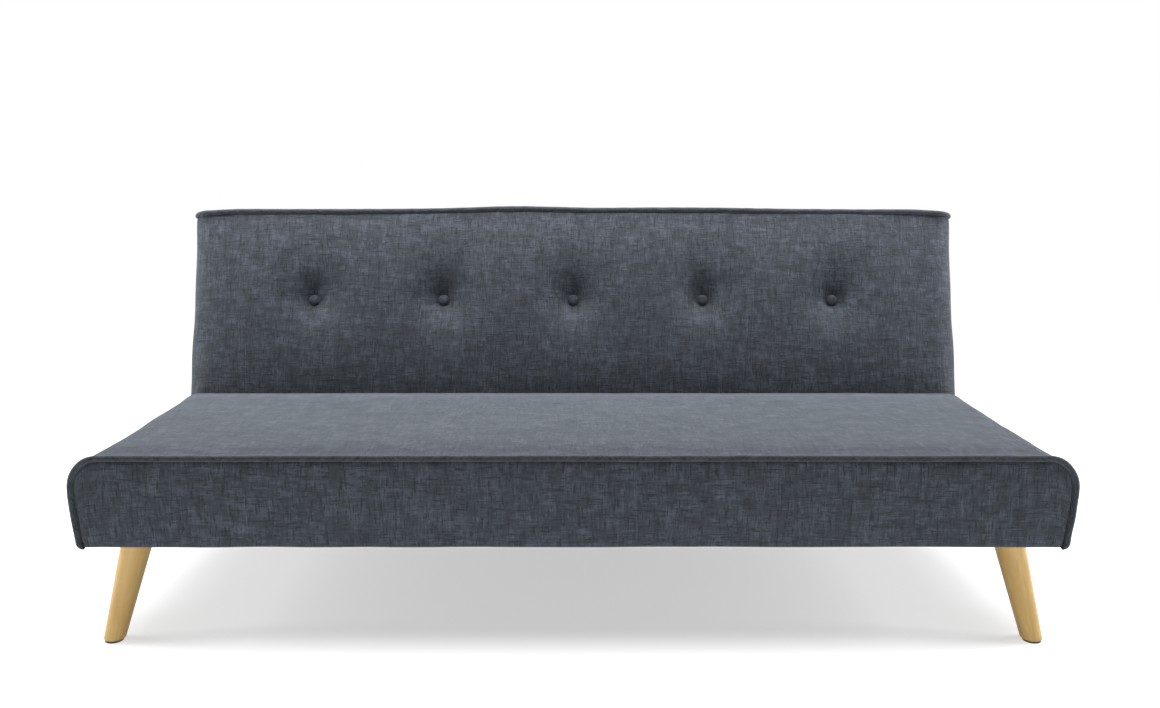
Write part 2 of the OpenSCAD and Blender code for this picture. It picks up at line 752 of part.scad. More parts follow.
module back_piping() {
    in = piping_bed - piping_d / 2;
    r = back_edge_r - in;
    hw = back_hw - in;
    flat = hw - r;
    n = 10;
    outline = concat(
        [[-hw, back_t - hem_r]],
        arc([-flat, in + r], r, 180, 270),
        [for (i = [1:n - 1]) [-flat + 2 * flat * i / n, in]],
        arc([flat, in + r], r, 270, 360),
        [[hw, back_t - hem_r]]
    );
    on_back() color(linen_dark) swept(
        [for (p = outline) [p.x, p.y, back_l - in + crown(p.x)]], piping_d / 2 - 0.1, 10, [0, 0, 1]
    );
}

module back_foam() on_back() color("khaki") difference() {
    back_form(cloth + slip);
    box(
        [-side_hw - slip, panel_v - slip, bottom_rail_u - slip],
        [side_hw + slip, far, top_rail_u + back_board + slip]
    );
    arm_slot();
    both_sides() box([arm_x - 8, panel_v - 30, mechanism_u], [arm_x + plate_t + 6, far, arm_bolt_u(2) + 15]);
    each_button() rotate([-90, 0, 0]) cylinder(h = back_t / 2, d = cord_d + 0.5);
}

module back_rear_cloth() on_back() color("black") difference() {
    box(
        [-side_hw + lip + slip, back_t - cloth, lip + 15 + slip],
        [side_hw - lip - slip, back_t - cloth / 2, top_rail_u + 5 - slip]
    );
    pocket(cloth + 1 + slip);
}

module back_panel() on_back() color("sienna") difference() {
    box([-side_hw, panel_v, bottom_rail_u], [side_hw, timber_v, top_rail_u + back_board]);
    pocket(cloth + slip);
    arm_slot();
    each_button() rotate([-90, 0, 0]) cylinder(h = back_t, d = cord_d);
}

// Timber frame of the back
module timber(x0, x1, u0, u1) box([x0, timber_v, u0], [x1, timber_v + timber_t, u1]);

module back_top_rail() on_back() color(pine)
    timber(-side_hw, side_hw, top_rail_u, top_rail_u + back_board);

module back_bottom_rail() on_back() color(pine)
    timber(-arm_x + back_board, arm_x - back_board, bottom_rail_u, bottom_rail_u + back_board);

module back_side_rails() on_back() color(pine) both_sides()
    timber(side_hw - back_board, side_hw, bottom_rail_u, top_rail_u);

module each_arm_bolt() both_sides() for (i = [0:2])
    translate([arm_x, timber_v + timber_t / 2, arm_bolt_u(i)]) children();
function arm_bolt_u(i) = mechanism_u + arm_bolt_pitch * (i + 1);

module back_posts() on_back() color(pine) difference() {
    union() {
        for (s = [-1.5, -0.5, 0.5, 1.5])
            timber(
                s * button_pitch - back_board / 2, s * button_pitch + back_board / 2,
                bottom_rail_u + back_board, top_rail_u
            );
        both_sides() timber(
            arm_x - 2 * back_board, arm_x - back_board, bottom_rail_u + back_board, top_rail_u
        );
    }
    each_arm_bolt() pin_x(-3 * back_board, back_board, arm_bolt_d / 2);
}

module mechanism_rails() on_back() color(pine) difference() {
    both_sides() timber(arm_x - back_board, arm_x, mechanism_u, top_rail_u);
    each_arm_bolt() pin_x(-3 * back_board, back_board, arm_bolt_d / 2);
}

// Blocks that tie the side rails to the mechanism rails
module back_links() on_back() color(pine) both_sides() for (u = [arm_bolt_u(2) + 40, top_rail_u - 60])
    timber(arm_x, side_hw - back_board, u, u + back_board);

module buttons() on_back() color(linen) each_button() rotate([-90, 0, 0]) {
    rim = 2;
    translate([0, 0, dimple_h - button_h]) rotate_extrude() polygon(concat(
        [for (i = [0:8]) let (a = 90 * i / 8) [button_d / 2 * sin(a), (button_h - rim) * (1 - cos(a))]],
        [[button_d / 2, button_h - 0.5], [button_d / 2 - 1, button_h], [0, button_h]]
    ));
}

anchor_t = 5;
anchor_d = 22;
cord_d = 2.5;
module tufting_cords() on_back() color("ivory") each_button() rotate([-90, 0, 0])
    translate([0, 0, dimple_h]) cylinder(h = timber_v + anchor_t - dimple_h, d = cord_d);

module cord_anchors() on_back() color("white") each_button() rotate([-90, 0, 0])
    translate([0, 0, timber_v]) difference() {
        cylinder(h = anchor_t, d = anchor_d);
        cylinder(h = 3 * anchor_t, d = cord_d, center = true);
    }

// ---------------------------------------------------------------- hinge, moving half

// Angles, in the back's own frame, of the notches: at rest, half way and flat
function notch_angle(travel) = nose_angle + lean + travel;
half_notch = 8;

module arm_outline() {
    difference() {
        union() {
            translate([pivot_v, pivot_u]) {
                circle(r = pivot_d / 2 + 9);
                difference() {
                    circle(r = ratchet_r);
                    ratchet_cuts();
                }
            }
            polygon([
                [arm_v0 + 2, pivot_u], [arm_v1, pivot_u], [arm_v1, mechanism_u + 6],
                [timber_v + (timber_t + arm_w) / 2, arm_bolt_u(0) - 4],
                [timber_v + (timber_t + arm_w) / 2, arm_bolt_u(2) + arm_end],
                [timber_v + (timber_t - arm_w) / 2, arm_bolt_u(2) + arm_end],
                [timber_v + (timber_t - arm_w) / 2, arm_bolt_u(0) + arm_end],
                [arm_v0 + 2, mechanism_u + arm_end]
            ]);
        }
        translate([pivot_v, pivot_u]) circle(d = pivot_d + 2 * bush_t);
        for (i = [0:2]) translate([timber_v + timber_t / 2, arm_bolt_u(i)]) circle(d = arm_bolt_d);
    }
}

// What is cut from the ratchet's disc: all but its toothed sector, and the three notches with the ramps
// that let the nose ride over when the back comes forward
module ratchet_cuts() {
    first = notch_angle(0) - half_notch;
    last = notch_angle(recline) + half_notch;
    polygon(concat([[0, 0]], arc([0, 0], 2 * ratchet_r, last + half_notch, first - half_notch + 360, 24)));
    for (travel = [0, middle_notch, recline]) {
        a = notch_angle(travel);
        ramp = travel == 0 ? a - 2 * half_notch : a - 1.8 * half_notch;
        tip = travel == 0 ? root_r : ratchet_r + 1;
        polygon(concat(
            [tip * [cos(ramp), sin(ramp)]],
            [for (k = [-1:0.5:1]) root_r * [cos(a + k * half_notch), sin(a + k * half_notch)]],
            [1.5 * ratchet_r * [cos(a + half_notch), sin(a + half_notch)]],
            [1.5 * ratchet_r * [cos(ramp), sin(ramp)]]
        ));
    }
}

module hinge_arm() on_back() color(steel) plate_at(arm_x, plate_t) arm_outline();
module hinge_arm_right() hinge_arm();
module hinge_arm_left() mirror([1, 0, 0]) hinge_arm();

module arm_bolts() on_back() color(zinc) each_arm_bolt() {
    pin_x(-2 * back_board - arm_nut_h - 2.5, plate_t, arm_bolt_d / 2);
    pin_x(plate_t, plate_t + 3.5, 8);
}

module arm_nuts() on_back() color(zinc) each_arm_bolt() difference() {
    translate([-2 * back_board - arm_nut_h, 0, 0]) rotate([0, 90, 0])
        cylinder(h = arm_nut_h, d = 2 * arm_bolt_d - 1, $fn = 6);
    pin_x(-3 * back_board, 0, arm_bolt_d / 2);
}

module pivot_bushes() on_back() color("ivory") both_sides() translate([0, pivot_v, pivot_u]) difference() {
    union() {
        pin_x(arm_x, arm_x + plate_t, pivot_d / 2 + bush_t);
        pin_x(arm_x + plate_t, arm_x + plate_t + flange_t - tick, pivot_d / 2 + 3 * bush_t);
    }
    pin_x(0, far, pivot_d / 2 + fit);
}

// ---------------------------------------------------------------- the sofa bed

seat_cover();
seat_piping();
seat_foam();
deck_pad();
seat_springs();
spring_clips();
seat_front_rail();
seat_rear_rail();
seat_side_rails();
seat_runners();
seat_stretchers();
corner_blocks();
dust_cloth();
base_rails();
rail_end_caps();
rear_cross_tube();
leg(-1, false);  // leg_front_left
leg(1, false);  // leg_front_right
leg(-1, true);  // leg_rear_left
leg(1, true);  // leg_rear_right
glide(-1, false);  // glide_front_left
glide(1, false);  // glide_front_right
glide(-1, true);  // glide_rear_left
glide(1, true);  // glide_rear_right
leg_plates();
leg_plate_screws();
hanger_bolts();
runner_bolts();
rest_pads();
bracket_left();
bracket_right();
pivot_bolts();
pivot_nuts();
pawl_pins();
pawl_clips();
pawl_spring_left();
pawl_spring_right();
pawl_left();
pawl_right();
back_cover();
back_piping();
back_foam();
back_rear_cloth();
back_panel();
back_top_rail();
back_bottom_rail();
back_side_rails();
back_posts();
mechanism_rails();
back_links();
buttons();
tufting_cords();
cord_anchors();
hinge_arm_left();
hinge_arm_right();
arm_bolts();
arm_nuts();
pivot_bushes();
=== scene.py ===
"""Looks of the click-clack sofa bed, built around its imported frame. Metres, +Z up, front towards -Y."""
import json
import math

import bmesh
import bpy
import numpy as np
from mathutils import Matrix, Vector


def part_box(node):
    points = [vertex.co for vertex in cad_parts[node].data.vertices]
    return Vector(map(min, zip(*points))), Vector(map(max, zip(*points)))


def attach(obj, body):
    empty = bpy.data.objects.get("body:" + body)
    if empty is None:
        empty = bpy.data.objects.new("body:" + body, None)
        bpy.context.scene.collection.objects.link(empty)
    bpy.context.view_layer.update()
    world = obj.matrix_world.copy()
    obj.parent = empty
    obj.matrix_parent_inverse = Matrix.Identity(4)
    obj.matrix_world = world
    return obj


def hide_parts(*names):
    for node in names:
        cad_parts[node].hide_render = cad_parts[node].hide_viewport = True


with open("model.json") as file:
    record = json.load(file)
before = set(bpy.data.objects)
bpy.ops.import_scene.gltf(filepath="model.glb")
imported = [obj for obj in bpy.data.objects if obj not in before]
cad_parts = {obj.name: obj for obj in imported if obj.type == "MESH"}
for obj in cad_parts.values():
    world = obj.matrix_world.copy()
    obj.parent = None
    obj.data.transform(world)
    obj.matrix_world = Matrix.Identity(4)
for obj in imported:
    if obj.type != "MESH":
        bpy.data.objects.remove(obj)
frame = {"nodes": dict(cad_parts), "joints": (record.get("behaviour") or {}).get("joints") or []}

scene = bpy.context.scene
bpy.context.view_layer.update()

# ---- places and sizes, from the CAD frame

seat_lo, seat_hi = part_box("seat_cover")
SEAT_HW = seat_hi.x
FRONT, REAR = seat_lo.y, seat_hi.y
BOTTOM, TOP = seat_lo.z, seat_hi.z
SEAT_R = 0.050          # rounding of the long side edges
SEAT_REAR_R = 0.015
SEAT_TURN = 0.008       # radius at which the seat's end panels turn under
SIDE_ROLL_R = 0.012     # radius at which a wrap's side faces roll over a slab's end
HEM_R = 0.012
BED = 0.006             # seam step that the piping sits in
PIPE_R = 0.0055
SEAM_IN = 0.0032        # panels and wraps meet behind the piping, this far in from the cut shape
SEAM_BEHIND = 0.0046    # and this far behind the slab's end
GROOVE = 0.0056         # depth and width of a panel's groove beside its seam
HEM_DRAW = 0.0046       # how far the seat's sides are drawn in at the hem
FRONT_FULL = 0.0036     # how full the seat's front panel is
LIP = 0.028             # width that the covers turn under
FINE = 0.0012           # spacing of points beside a seam
COARSE = 0.012          # and the widest spacing in a panel

BACK_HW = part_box("back_cover")[1].x
BACK_L = 0.488
BACK_T = 0.130
BACK_R = 0.040
TOE_R = 0.025           # rounding of the back's lower end at its face
HEEL_R = 0.020          # and at its rear
BACK_TURN = 0.010       # radius at which its top panel turns under
LEAN = math.radians(17)
BACK_AT = (REAR + 0.003, TOP - 0.060)       # y and z of the back slab's lower front corner
BUTTON_U = 0.275
BUTTON_R = 0.0135
BUTTON_PITCH = 0.300
BUTTONS = [(i - 2) * BUTTON_PITCH for i in range(5)]
DIMPLE = 0.022          # depth of the dimple round a button
DIMPLE_FLAT = 0.0105    # radius of its flat floor
DIMPLE_SIDE = 0.110     # how far it reaches aside, upwards and downwards
DIMPLE_UP = 0.142
DIMPLE_DOWN = 0.096
FULLNESS = 0.012        # how far the stuffed back swells between its seams
SWELLING = 0.0035       # the most that the cloth's own swelling adds

rail_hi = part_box("base_rails")[1]
RAIL_OUT = rail_hi.x
RAIL_TOP = rail_hi.z
RAIL_IN = RAIL_OUT - 0.040
RAIL_GAP = 0.0004       # between a rail and the cover's opening round it
POCKET_IN = RAIL_IN - 0.023         # the hinges' pockets in the back's lower end: their sides,
POCKET_OUT = RAIL_IN + 0.029
POCKET_FRONT = 0.010                # front wall
POCKET_TOP = 0.097                  # and top
HEMMED = 0.004          # how far the rear cloth stays off the pockets

LEG_HEAD_R = 0.0285
LEG_FOOT_R = 0.0185
LEG_ASIDE = 0.050       # how far a foot stands out from its leg's head, aside
LEG_ENDWAYS = 0.029     # and to the front or the rear


def on_back(p):
    """Points (across, rearward from the face, up from the lower end) of the back slab, in the row frame."""
    x, v, u = np.moveaxis(p, -1, 0)
    c, s = math.cos(LEAN), math.sin(LEAN)
    return together(x, BACK_AT[0] + v * c + u * s, BACK_AT[1] - v * s + u * c)


def off_back(p):
    """Points of the row frame as (across, rearward, up) of the back slab."""
    x, y, z = p[..., 0], p[..., 1] - BACK_AT[0], p[..., 2] - BACK_AT[1]
    c, s = math.cos(LEAN), math.sin(LEAN)
    return together(x, y * c - z * s, y * s + z * c)


# ---- small tools for shapes

def line(p, q, step):
    """Points from p to q, about a step apart."""
    return np.linspace(p, q, max(1, round(math.dist(p, q) / step)) + 1)


def arc(c, r, a0, a1, step=0.004):
    """Points round c at radius r, from angle a0 to a1 in degrees."""
    a = np.radians(np.linspace(a0, a1, max(3, round(abs(math.radians(a1 - a0)) * r / step)) + 1))
    return together(c[0] + r * np.cos(a), c[1] + r * np.sin(a))


def joined(*parts):
    """One path from several, without the points that repeat."""
    points = np.concatenate(parts)
    step = np.linalg.norm(np.diff(points, axis=0), axis=1)
    return points[np.concatenate([[True], step > 1e-7])]


def mirrored(half):
    """A path that ends on the middle plane, and its mirror image after it."""
    return joined(half, half[::-1] * [-1, 1])


def lengths(points):
    """The way along a path at each of its points."""
    return np.concatenate([[0], np.cumsum(np.linalg.norm(np.diff(points, axis=0), axis=-1))])


def together(*parts):
    """Coordinates put together as points."""
    return np.stack(np.broadcast_arrays(*parts), -1)


def unit(rows):
    return rows / np.linalg.norm(rows, axis=1)[:, None]


def laid_out(across, way):
    """A cloth's layout, rows by columns, from places across it and ways along it."""
    return together(across[None, :], way[:, None])


def spaced(length, fine, coarse, growth=1.35):
    """Distances from 0 to length that start fine and grow coarse."""
    out, step = [0.0], fine
    while out[-1] + step < length:
        out.append(out[-1] + step)
        step = min(step * growth, coarse)
    out[-1] = length
    return np.array(out)


def smooth(x, a, b):
    """0 up to a and 1 from b, with an even slope between."""
    t = np.clip((x - a) / (b - a), 0, 1)
    return t * t * (3 - 2 * t)


def ripple(a, b, size, seed, waves=14):
    """Smooth unevenness over a and b, about -1 to 1, with features of that size, fixed by the seed."""
    rng = np.random.default_rng(seed)
    out = np.zeros(np.broadcast(a, b).shape)
    for _ in range(waves):
        turn, phase, k = rng.uniform(0, math.tau), rng.uniform(0, math.tau), rng.uniform(0.6, 1.5)
        out += np.sin(math.tau / size * k * (a * math.cos(turn) + b * math.sin(turn)) + phase)
    return out / math.sqrt(waves)


def corners_of(rows):
    """The four corners of each cell of an array of rows by columns."""
    return [rows[:-1, :-1], rows[1:, :-1], rows[1:, 1:], rows[:-1, 1:]]


def new_object(name, data):
    obj = bpy.data.objects.new(name, data)
    scene.collection.objects.link(obj)
    return obj


def grid(name, points, uv, keep=None, flip=False, ring=False):
    """A mesh object from a grid of points, rows by columns, with the cloth's layout in metres as its UV map.
    keep is a mask of its cells. ring closes each row on itself, with one column more in uv."""
    rows, cols = points.shape[:2]
    index = np.arange(rows * cols).reshape(rows, cols)
    layout = np.arange(uv.shape[0] * uv.shape[1]).reshape(uv.shape[:2])
    if ring:
        index = np.concatenate([index, index[:, :1]], 1)
    order = (0, 1, 2, 3) if flip else (0, 3, 2, 1)
    cells = [corners_of(m) for m in (index, layout)]
    faces, corners = (together(*(c[k] for k in order)) for c in cells)
    if keep is not None:
        faces, corners = faces[keep], corners[keep]
    faces, corners = faces.reshape(-1, 4), corners.reshape(-1, 4)
    mesh = bpy.data.meshes.new(name)
    mesh.from_pydata(points.reshape(-1, 3).tolist(), [], faces.tolist())
    layer = mesh.uv_layers.new(name="cloth")
    layer.data.foreach_set("uv", uv.reshape(-1, 2)[corners.ravel()].astype(np.float32).ravel())
    mesh.polygons.foreach_set("use_smooth", [True] * len(faces))
    clean(mesh)
    return new_object(name, mesh)


def clean(mesh):
    """Drops points that no face uses, and faces that have shrunk to nothing."""
    bm = bmesh.new()
    bm.from_mesh(mesh)
    bmesh.ops.dissolve_degenerate(bm, dist=1e-6, edges=bm.edges)
    bmesh.ops.delete(bm, geom=[v for v in bm.verts if not v.link_faces], context="VERTS")
    bm.to_mesh(mesh)
    bm.free()


def join(name, *objects):
    """One object from several, with the points that coincide welded."""
    with bpy.context.temp_override(active_object=objects[0], selected_editable_objects=list(objects)):
        bpy.ops.object.join()
    made = objects[0]
    made.name = made.data.name = name
    bm = bmesh.new()
    bm.from_mesh(made.data)
    bmesh.ops.remove_doubles(bm, verts=bm.verts, dist=2e-5)
    bm.to_mesh(made.data)
    bm.free()
    return made


def refine(obj):
    """Rounds a mesh by one level of subdivision."""
    smoothing = obj.modifiers.new("smooth", "SUBSURF")
    smoothing.levels = 1
    smoothing.render_levels = 1
    smoothing.uv_smooth = "NONE"


def coordinates(mesh):
    """A mesh's points, one to a row."""
    flat = np.empty(len(mesh.vertices) * 3, np.float32)
    mesh.vertices.foreach_get("co", flat)
    return flat.reshape(-1, 3).astype(float)


STEPS = 20              # frames that the cloth runs for
LEVELS = 10             # steps in which its hold is graded
CLOTH = {
    "quality": 6, "mass": 0.25, "air_damping": 2.0, "use_pressure": True, "uniform_pressure_force": 3.0,
    "tension_stiffness": 12, "compression_stiffness": 12, "shear_stiffness": 6, "bending_stiffness": 1.2,
    "tension_damping": 8, "compression_damping": 8, "shear_damping": 8, "vertex_group_mass": "held",
}


def swell(obj, held):
    """Lets a cover swell as cloth under a little pressure. held(points) is 1 where seams, timber and buttons
    hold it and 0 where it is free, and no point moves further than SWELLING."""
    cut = coordinates(obj.data)
    hold = np.clip(held(cut), 0, 1)
    group = obj.vertex_groups.new(name="held")
    for level in range(1, LEVELS + 1):
        near = np.flatnonzero(np.round(hold * LEVELS) == level)
        if len(near):
            group.add(near.tolist(), level / LEVELS, "REPLACE")
    cloth = obj.modifiers.new("cloth", "CLOTH")
    for key, value in CLOTH.items():
        setattr(cloth.settings, key, value)
    cloth.settings.effector_weights.gravity = 0
    cloth.collision_settings.use_collision = False
    cloth.point_cache.frame_start = 1
    cloth.point_cache.frame_end = STEPS
    for step in range(1, STEPS + 1):
        scene.frame_set(step)
    view = obj.evaluated_get(bpy.context.evaluated_depsgraph_get())
    move = coordinates(view.to_mesh()) - cut
    view.to_mesh_clear()
    obj.modifiers.remove(cloth)
    obj.vertex_groups.remove(group)
    scene.frame_set(1)
    far = np.maximum(np.linalg.norm(move, axis=1), 1e-9)[:, None]
    move *= SWELLING * np.tanh(far / SWELLING) / far
    obj.data.vertices.foreach_set("co", (cut + move * (1 - hold)[:, None]).astype(np.float32).ravel())
    obj.data.update()


def dressed(obj, body, material, replaces=()):
    """Gives a piece its material in one slot and its body, and hides the CAD nodes it stands for."""
    obj.data.materials.clear()
    obj.data.materials.append(material)
    if replaces:
        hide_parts(*replaces)
    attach(obj, body)
    return obj


# ---- materials

def named(sockets, key):
    """The socket with that name, written with underscores."""
    return next(s for s in sockets if s.name.lower() == key.replace("_", " ").lower())


class Tree:
    """Short ways to add and link the nodes of a node tree."""

    def __init__(self, tree):
        self.tree = tree

    def add(self, kind, *inputs, out=0, **settings):
        """Adds a node. An input is a value, an output to link, or None; settings go to the node, or by
        name to its inputs."""
        n = self.tree.nodes.new("ShaderNode" + kind)
        for key, value in settings.items():
            if hasattr(n, key):
                setattr(n, key, value)
            else:
                self.feed(named(n.inputs, key), value)
        for socket, value in zip(n.inputs, inputs):
            self.feed(socket, value)
        return n.outputs[out]

    def feed(self, socket, value):
        if isinstance(value, bpy.types.NodeSocket):
            self.tree.links.new(value, socket)
        elif value is not None:
            socket.default_value = value

    def place(self):
        """The object's own coordinates, in metres."""
        return self.add("TexCoord", out=3)

    def split(self, vector):
        """The first two coordinates of a vector."""
        n = self.tree.nodes.new("ShaderNodeSeparateXYZ")
        self.feed(n.inputs[0], vector)
        return n.outputs[0], n.outputs[1]

    def math(self, operation, *values):
        return self.add("Math", *values, operation=operation)

    def total(self, *terms):
        """The sum of terms (value, weight)."""
        total = None
        for value, weight in terms:
            part = self.math("MULTIPLY", value, weight)
            total = part if total is None else self.math("ADD", total, part)
        return total

    def spread(self, value, low, high):
        """A value from 0 to 1, spread from low to high."""
        return self.add("MapRange", value, To_Min=low, To_Max=high)

    def ramp(self, factor, *stops):
        """A colour ramp from stops of (place, colour)."""
        n = self.tree.nodes.new("ShaderNodeValToRGB")
        while len(n.color_ramp.elements) < len(stops):
            n.color_ramp.elements.new(0.5)
        for element, (place, colour) in zip(n.color_ramp.elements, stops):
            element.position = place
            element.color = (*colour, 1) if len(colour) == 3 else colour
        self.feed(n.inputs[0], factor)
        return n.outputs[0]

    def mix(self, factor, a, b):
        n = self.tree.nodes.new("ShaderNodeMix")
        n.data_type = "RGBA"
        for socket, value in ((n.inputs[0], factor), (n.inputs[6], a), (n.inputs[7], b)):
            self.feed(socket, (*value, 1) if isinstance(value, tuple) else value)
        return n.outputs[2]


class Nodes(Tree):
    """A new node material."""

    def __init__(self, name, **sockets):
        self.mat = bpy.data.materials.new(name)
        self.mat.use_nodes = True
        super().__init__(self.mat.node_tree)
        self.shader = self.tree.nodes["Principled BSDF"]
        for key, value in sockets.items():
            named(self.shader.inputs, key).default_value = value

    def bump(self, height, distance, strength):
        self.set(normal=self.add("Bump", Height=height, Distance=distance, Strength=strength))

    def set(self, **sockets):
        for key, value in sockets.items():
            self.feed(named(self.shader.inputs, key), value)
        return self.mat


def grey(v):
    return (v, v, v, 1)


THREAD = 0.0012         # pitch of the linen's threads
YARN = 0.0011           # pitch of its relief
SLUB_PITCH = (0.0019, 0.0021)
BAND_PITCH = 0.0075     # bands of threads from one spool


def linen(name, dark, middle, light, turn, sheen):
    """Slubby woven linen, whose threads differ along and across the cloth, laid out in metres."""
    n = Nodes(name, roughness=0.9, sheen_weight=sheen, sheen_roughness=0.42, specular_ior_level=0.25,
              sheen_tint=(0.82, 0.9, 1.0, 1))
    cloth = n.add("UVMap", uv_map="cloth")
    waver = n.add("TexNoise", cloth, scale=14, detail=2)
    waver = n.add("VectorMath", waver, (0.5, 0.5, 0.5), operation="SUBTRACT")
    waver = n.add("VectorMath", waver, (0.0035, 0.0035, 0), operation="MULTIPLY")
    laid = n.add("VectorMath", cloth, waver, operation="ADD")
    laid = n.add("Mapping", laid, Rotation=(0, 0, turn))
    u, v = n.split(laid)

    def threads(along, across, pitch, length, seed):
        row = n.math("FLOOR", n.math("DIVIDE", across, pitch))
        place = n.add("CombineXYZ", n.math("DIVIDE", along, length), n.math("MULTIPLY", row, 7.31), seed)
        return n.add("TexNoise", place, scale=1, detail=3, roughness=0.62)

    weft = threads(u, v, THREAD, 0.018, 1.7)
    warp = threads(v, u, THREAD, 0.018, 4.2)
    weft_slub = threads(u, v, SLUB_PITCH[0], 0.030, 8.9)
    warp_slub = threads(v, u, SLUB_PITCH[1], 0.022, 15.3)
    weft_band = threads(u, v, BAND_PITCH, 0.060, 21.1)
    warp_band = threads(v, u, BAND_PITCH, 0.060, 27.7)
    patch = n.add("TexNoise", cloth, scale=32, detail=4, roughness=0.65)
    fine = n.math("ADD", weft, warp)
    slubs = n.math("ADD", weft_slub, warp_slub)
    bands = n.math("ADD", weft_band, warp_band)
    tone = n.total((fine, 0.7), (slubs, 0.95), (bands, 0.85), (patch, 1.2))
    tone = n.add("MapRange", tone, From_Min=2.38, From_Max=3.80)
    colour = n.ramp(tone, (0.0, dark), (0.5, middle), (1.0, light))
    thin = n.add("MapRange", n.math("MINIMUM", weft_slub, warp_slub), From_Min=0.43, From_Max=0.34)
    colour = n.mix(n.math("MULTIPLY", thin, 0.7), colour, tuple(c * 0.8 for c in dark))
    pale = n.add("MapRange", n.math("MAXIMUM", weft_slub, warp_slub), From_Min=0.66, From_Max=0.76)
    colour = n.mix(n.math("MULTIPLY", pale, 0.6), colour, light)

    def yarn(across):
        return n.math("ABSOLUTE", n.math("SINE", n.math("MULTIPLY", across, math.pi / YARN)))

    height = n.total((yarn(u), 1.0), (yarn(v), 1.0), (slubs, 4.5), (bands, 8.0), (patch, 16.0))
    n.bump(height, 0.00012, 0.9)
    return n.set(base_color=colour, roughness=n.spread(tone, 0.84, 0.95))


LINEN = linen("linen", (0.024, 0.029, 0.033), (0.0525, 0.061, 0.0745), (0.122, 0.132, 0.166), 0.0, 0.32)
# The piping's linen is the body's linen made darker, as painted shade of the seams it lies in, and turned to
# the bias.
SEAM_SHADED_LINEN = linen("linen_piping_painted_shade", (0.020, 0.025, 0.029), (0.048, 0.055, 0.066), (0.090, 0.100, 0.124),
               0.785, 0.36)


def spun(name, colour, pale):
    """Thin non-woven cloth, pressed from fibres with a fine dotted emboss."""
    n = Nodes(name, roughness=0.85, sheen_weight=0.15, specular_ior_level=0.2)
    where = n.place()
    fibres = n.add("TexNoise", where, scale=300, detail=6, roughness=0.7)
    dots = n.add("TexVoronoi", where, scale=450, randomness=0.1)
    n.bump(n.total((dots, 0.7), (fibres, 1.0)), 0.0002, 0.6)
    return n.set(base_color=n.mix(fibres, colour, pale))


def coated(name, colour):
    """Powder-coated steel, with a fine orange peel and patches that have dulled."""
    n = Nodes(name, metallic=0.0, roughness=0.42, coat_weight=0.15, coat_roughness=0.3)
    where = n.place()
    peel = n.add("TexNoise", where, scale=420, detail=3)
    wear = n.add("TexNoise", where, scale=12, detail=5, roughness=0.65)
    tone = n.ramp(wear, (0.3, colour), (0.75, tuple(c * 1.5 + 0.004 for c in colour)))
    n.bump(peel, 0.00012, 0.5)
    return n.set(base_color=tone, roughness=n.spread(wear, 0.34, 0.60))


def plated(name, colour, rough=0.34):
    """Zinc-plated or bare steel, brushed and a little clouded."""
    n = Nodes(name, metallic=1.0, roughness=rough)
    where = n.place()
    cloud = n.add("TexNoise", where, scale=60, detail=5, roughness=0.6)
    lines = n.add("TexNoise", n.add("Mapping", where, Scale=(40, 900, 900)), scale=1, detail=2)
    tone = n.ramp(cloud, (0.25, tuple(c * 0.72 for c in colour)), (0.7, colour))
    n.bump(lines, 0.00005, 0.4)
    return n.set(base_color=tone, roughness=n.spread(cloud, rough - 0.1, rough + 0.2))


def moulded(name, colour, rough, grain=700.0, depth=0.00008):
    """Moulded plastic or rubber with a fine grain, or waxed twine with a coarser one."""
    n = Nodes(name, roughness=rough)
    where = n.place()
    fine = n.add("TexNoise", where, scale=grain, detail=3)
    broad = n.add("TexNoise", where, scale=30, detail=4)
    dull = tuple(c * 0.82 for c in colour)
    bright = tuple(c * 1.15 for c in colour)
    n.bump(fine, depth, 0.6)
    return n.set(base_color=n.ramp(broad, (0.3, dull), (0.7, bright)),
                 roughness=n.spread(broad, rough - 0.06, rough + 0.1))


def foam(name, colour, cell=450.0):
    """Open-cell foam or felt."""
    n = Nodes(name, roughness=0.95, specular_ior_level=0.1)
    where = n.place()
    cells = n.add("TexVoronoi", where, scale=cell)
    patch = n.add("TexNoise", where, scale=25, detail=4)
    tone = n.mix(patch, tuple(c * 0.8 for c in colour), colour)
    n.bump(n.total((cells, 1.0), (patch, 0.4)), 0.0006, 0.7)
    return n.set(base_color=tone)


def timber(name, pale, mid, dark, rough, turned=False):
    """Wood with its grain along X, or along the length of a turned piece that carries its own layout."""
    n = Nodes(name, roughness=rough, specular_ior_level=0.4)
    if turned:
        where = n.add("UVMap", uv_map="cloth")
        stretch, fine = (26, 3.2, 1), (520, 16, 1)
    else:
        where = n.place()
        stretch, fine = (2.5, 40, 40), (14, 700, 700)
    bend = n.add("TexNoise", where, scale=3.5, detail=2)
    bend = n.add("VectorMath", bend, (0.006, 0.006, 0.006), operation="MULTIPLY")
    where = n.add("VectorMath", where, bend, operation="ADD")
    rings = n.add("TexNoise", n.add("Mapping", where, Scale=stretch), scale=1, detail=4, roughness=0.55,
                  distortion=0.6)
    pores = n.add("TexNoise", n.add("Mapping", where, Scale=fine), scale=1, detail=3, roughness=0.6)
    tone = n.ramp(rings, (0.28, pale), (0.46, mid), (0.58, pale), (0.78, mid))
    streak = n.ramp(pores, (0.30, (1, 1, 1)), (0.38, (0, 0, 0)))
    tone = n.mix(n.math("MULTIPLY", streak, 0.55), tone, dark)
    n.bump(n.total((rings, 1.0), (streak, -0.5)), 0.00012, 0.5)
    return n.set(base_color=tone, roughness=n.spread(rings, rough - 0.08, rough + 0.1))


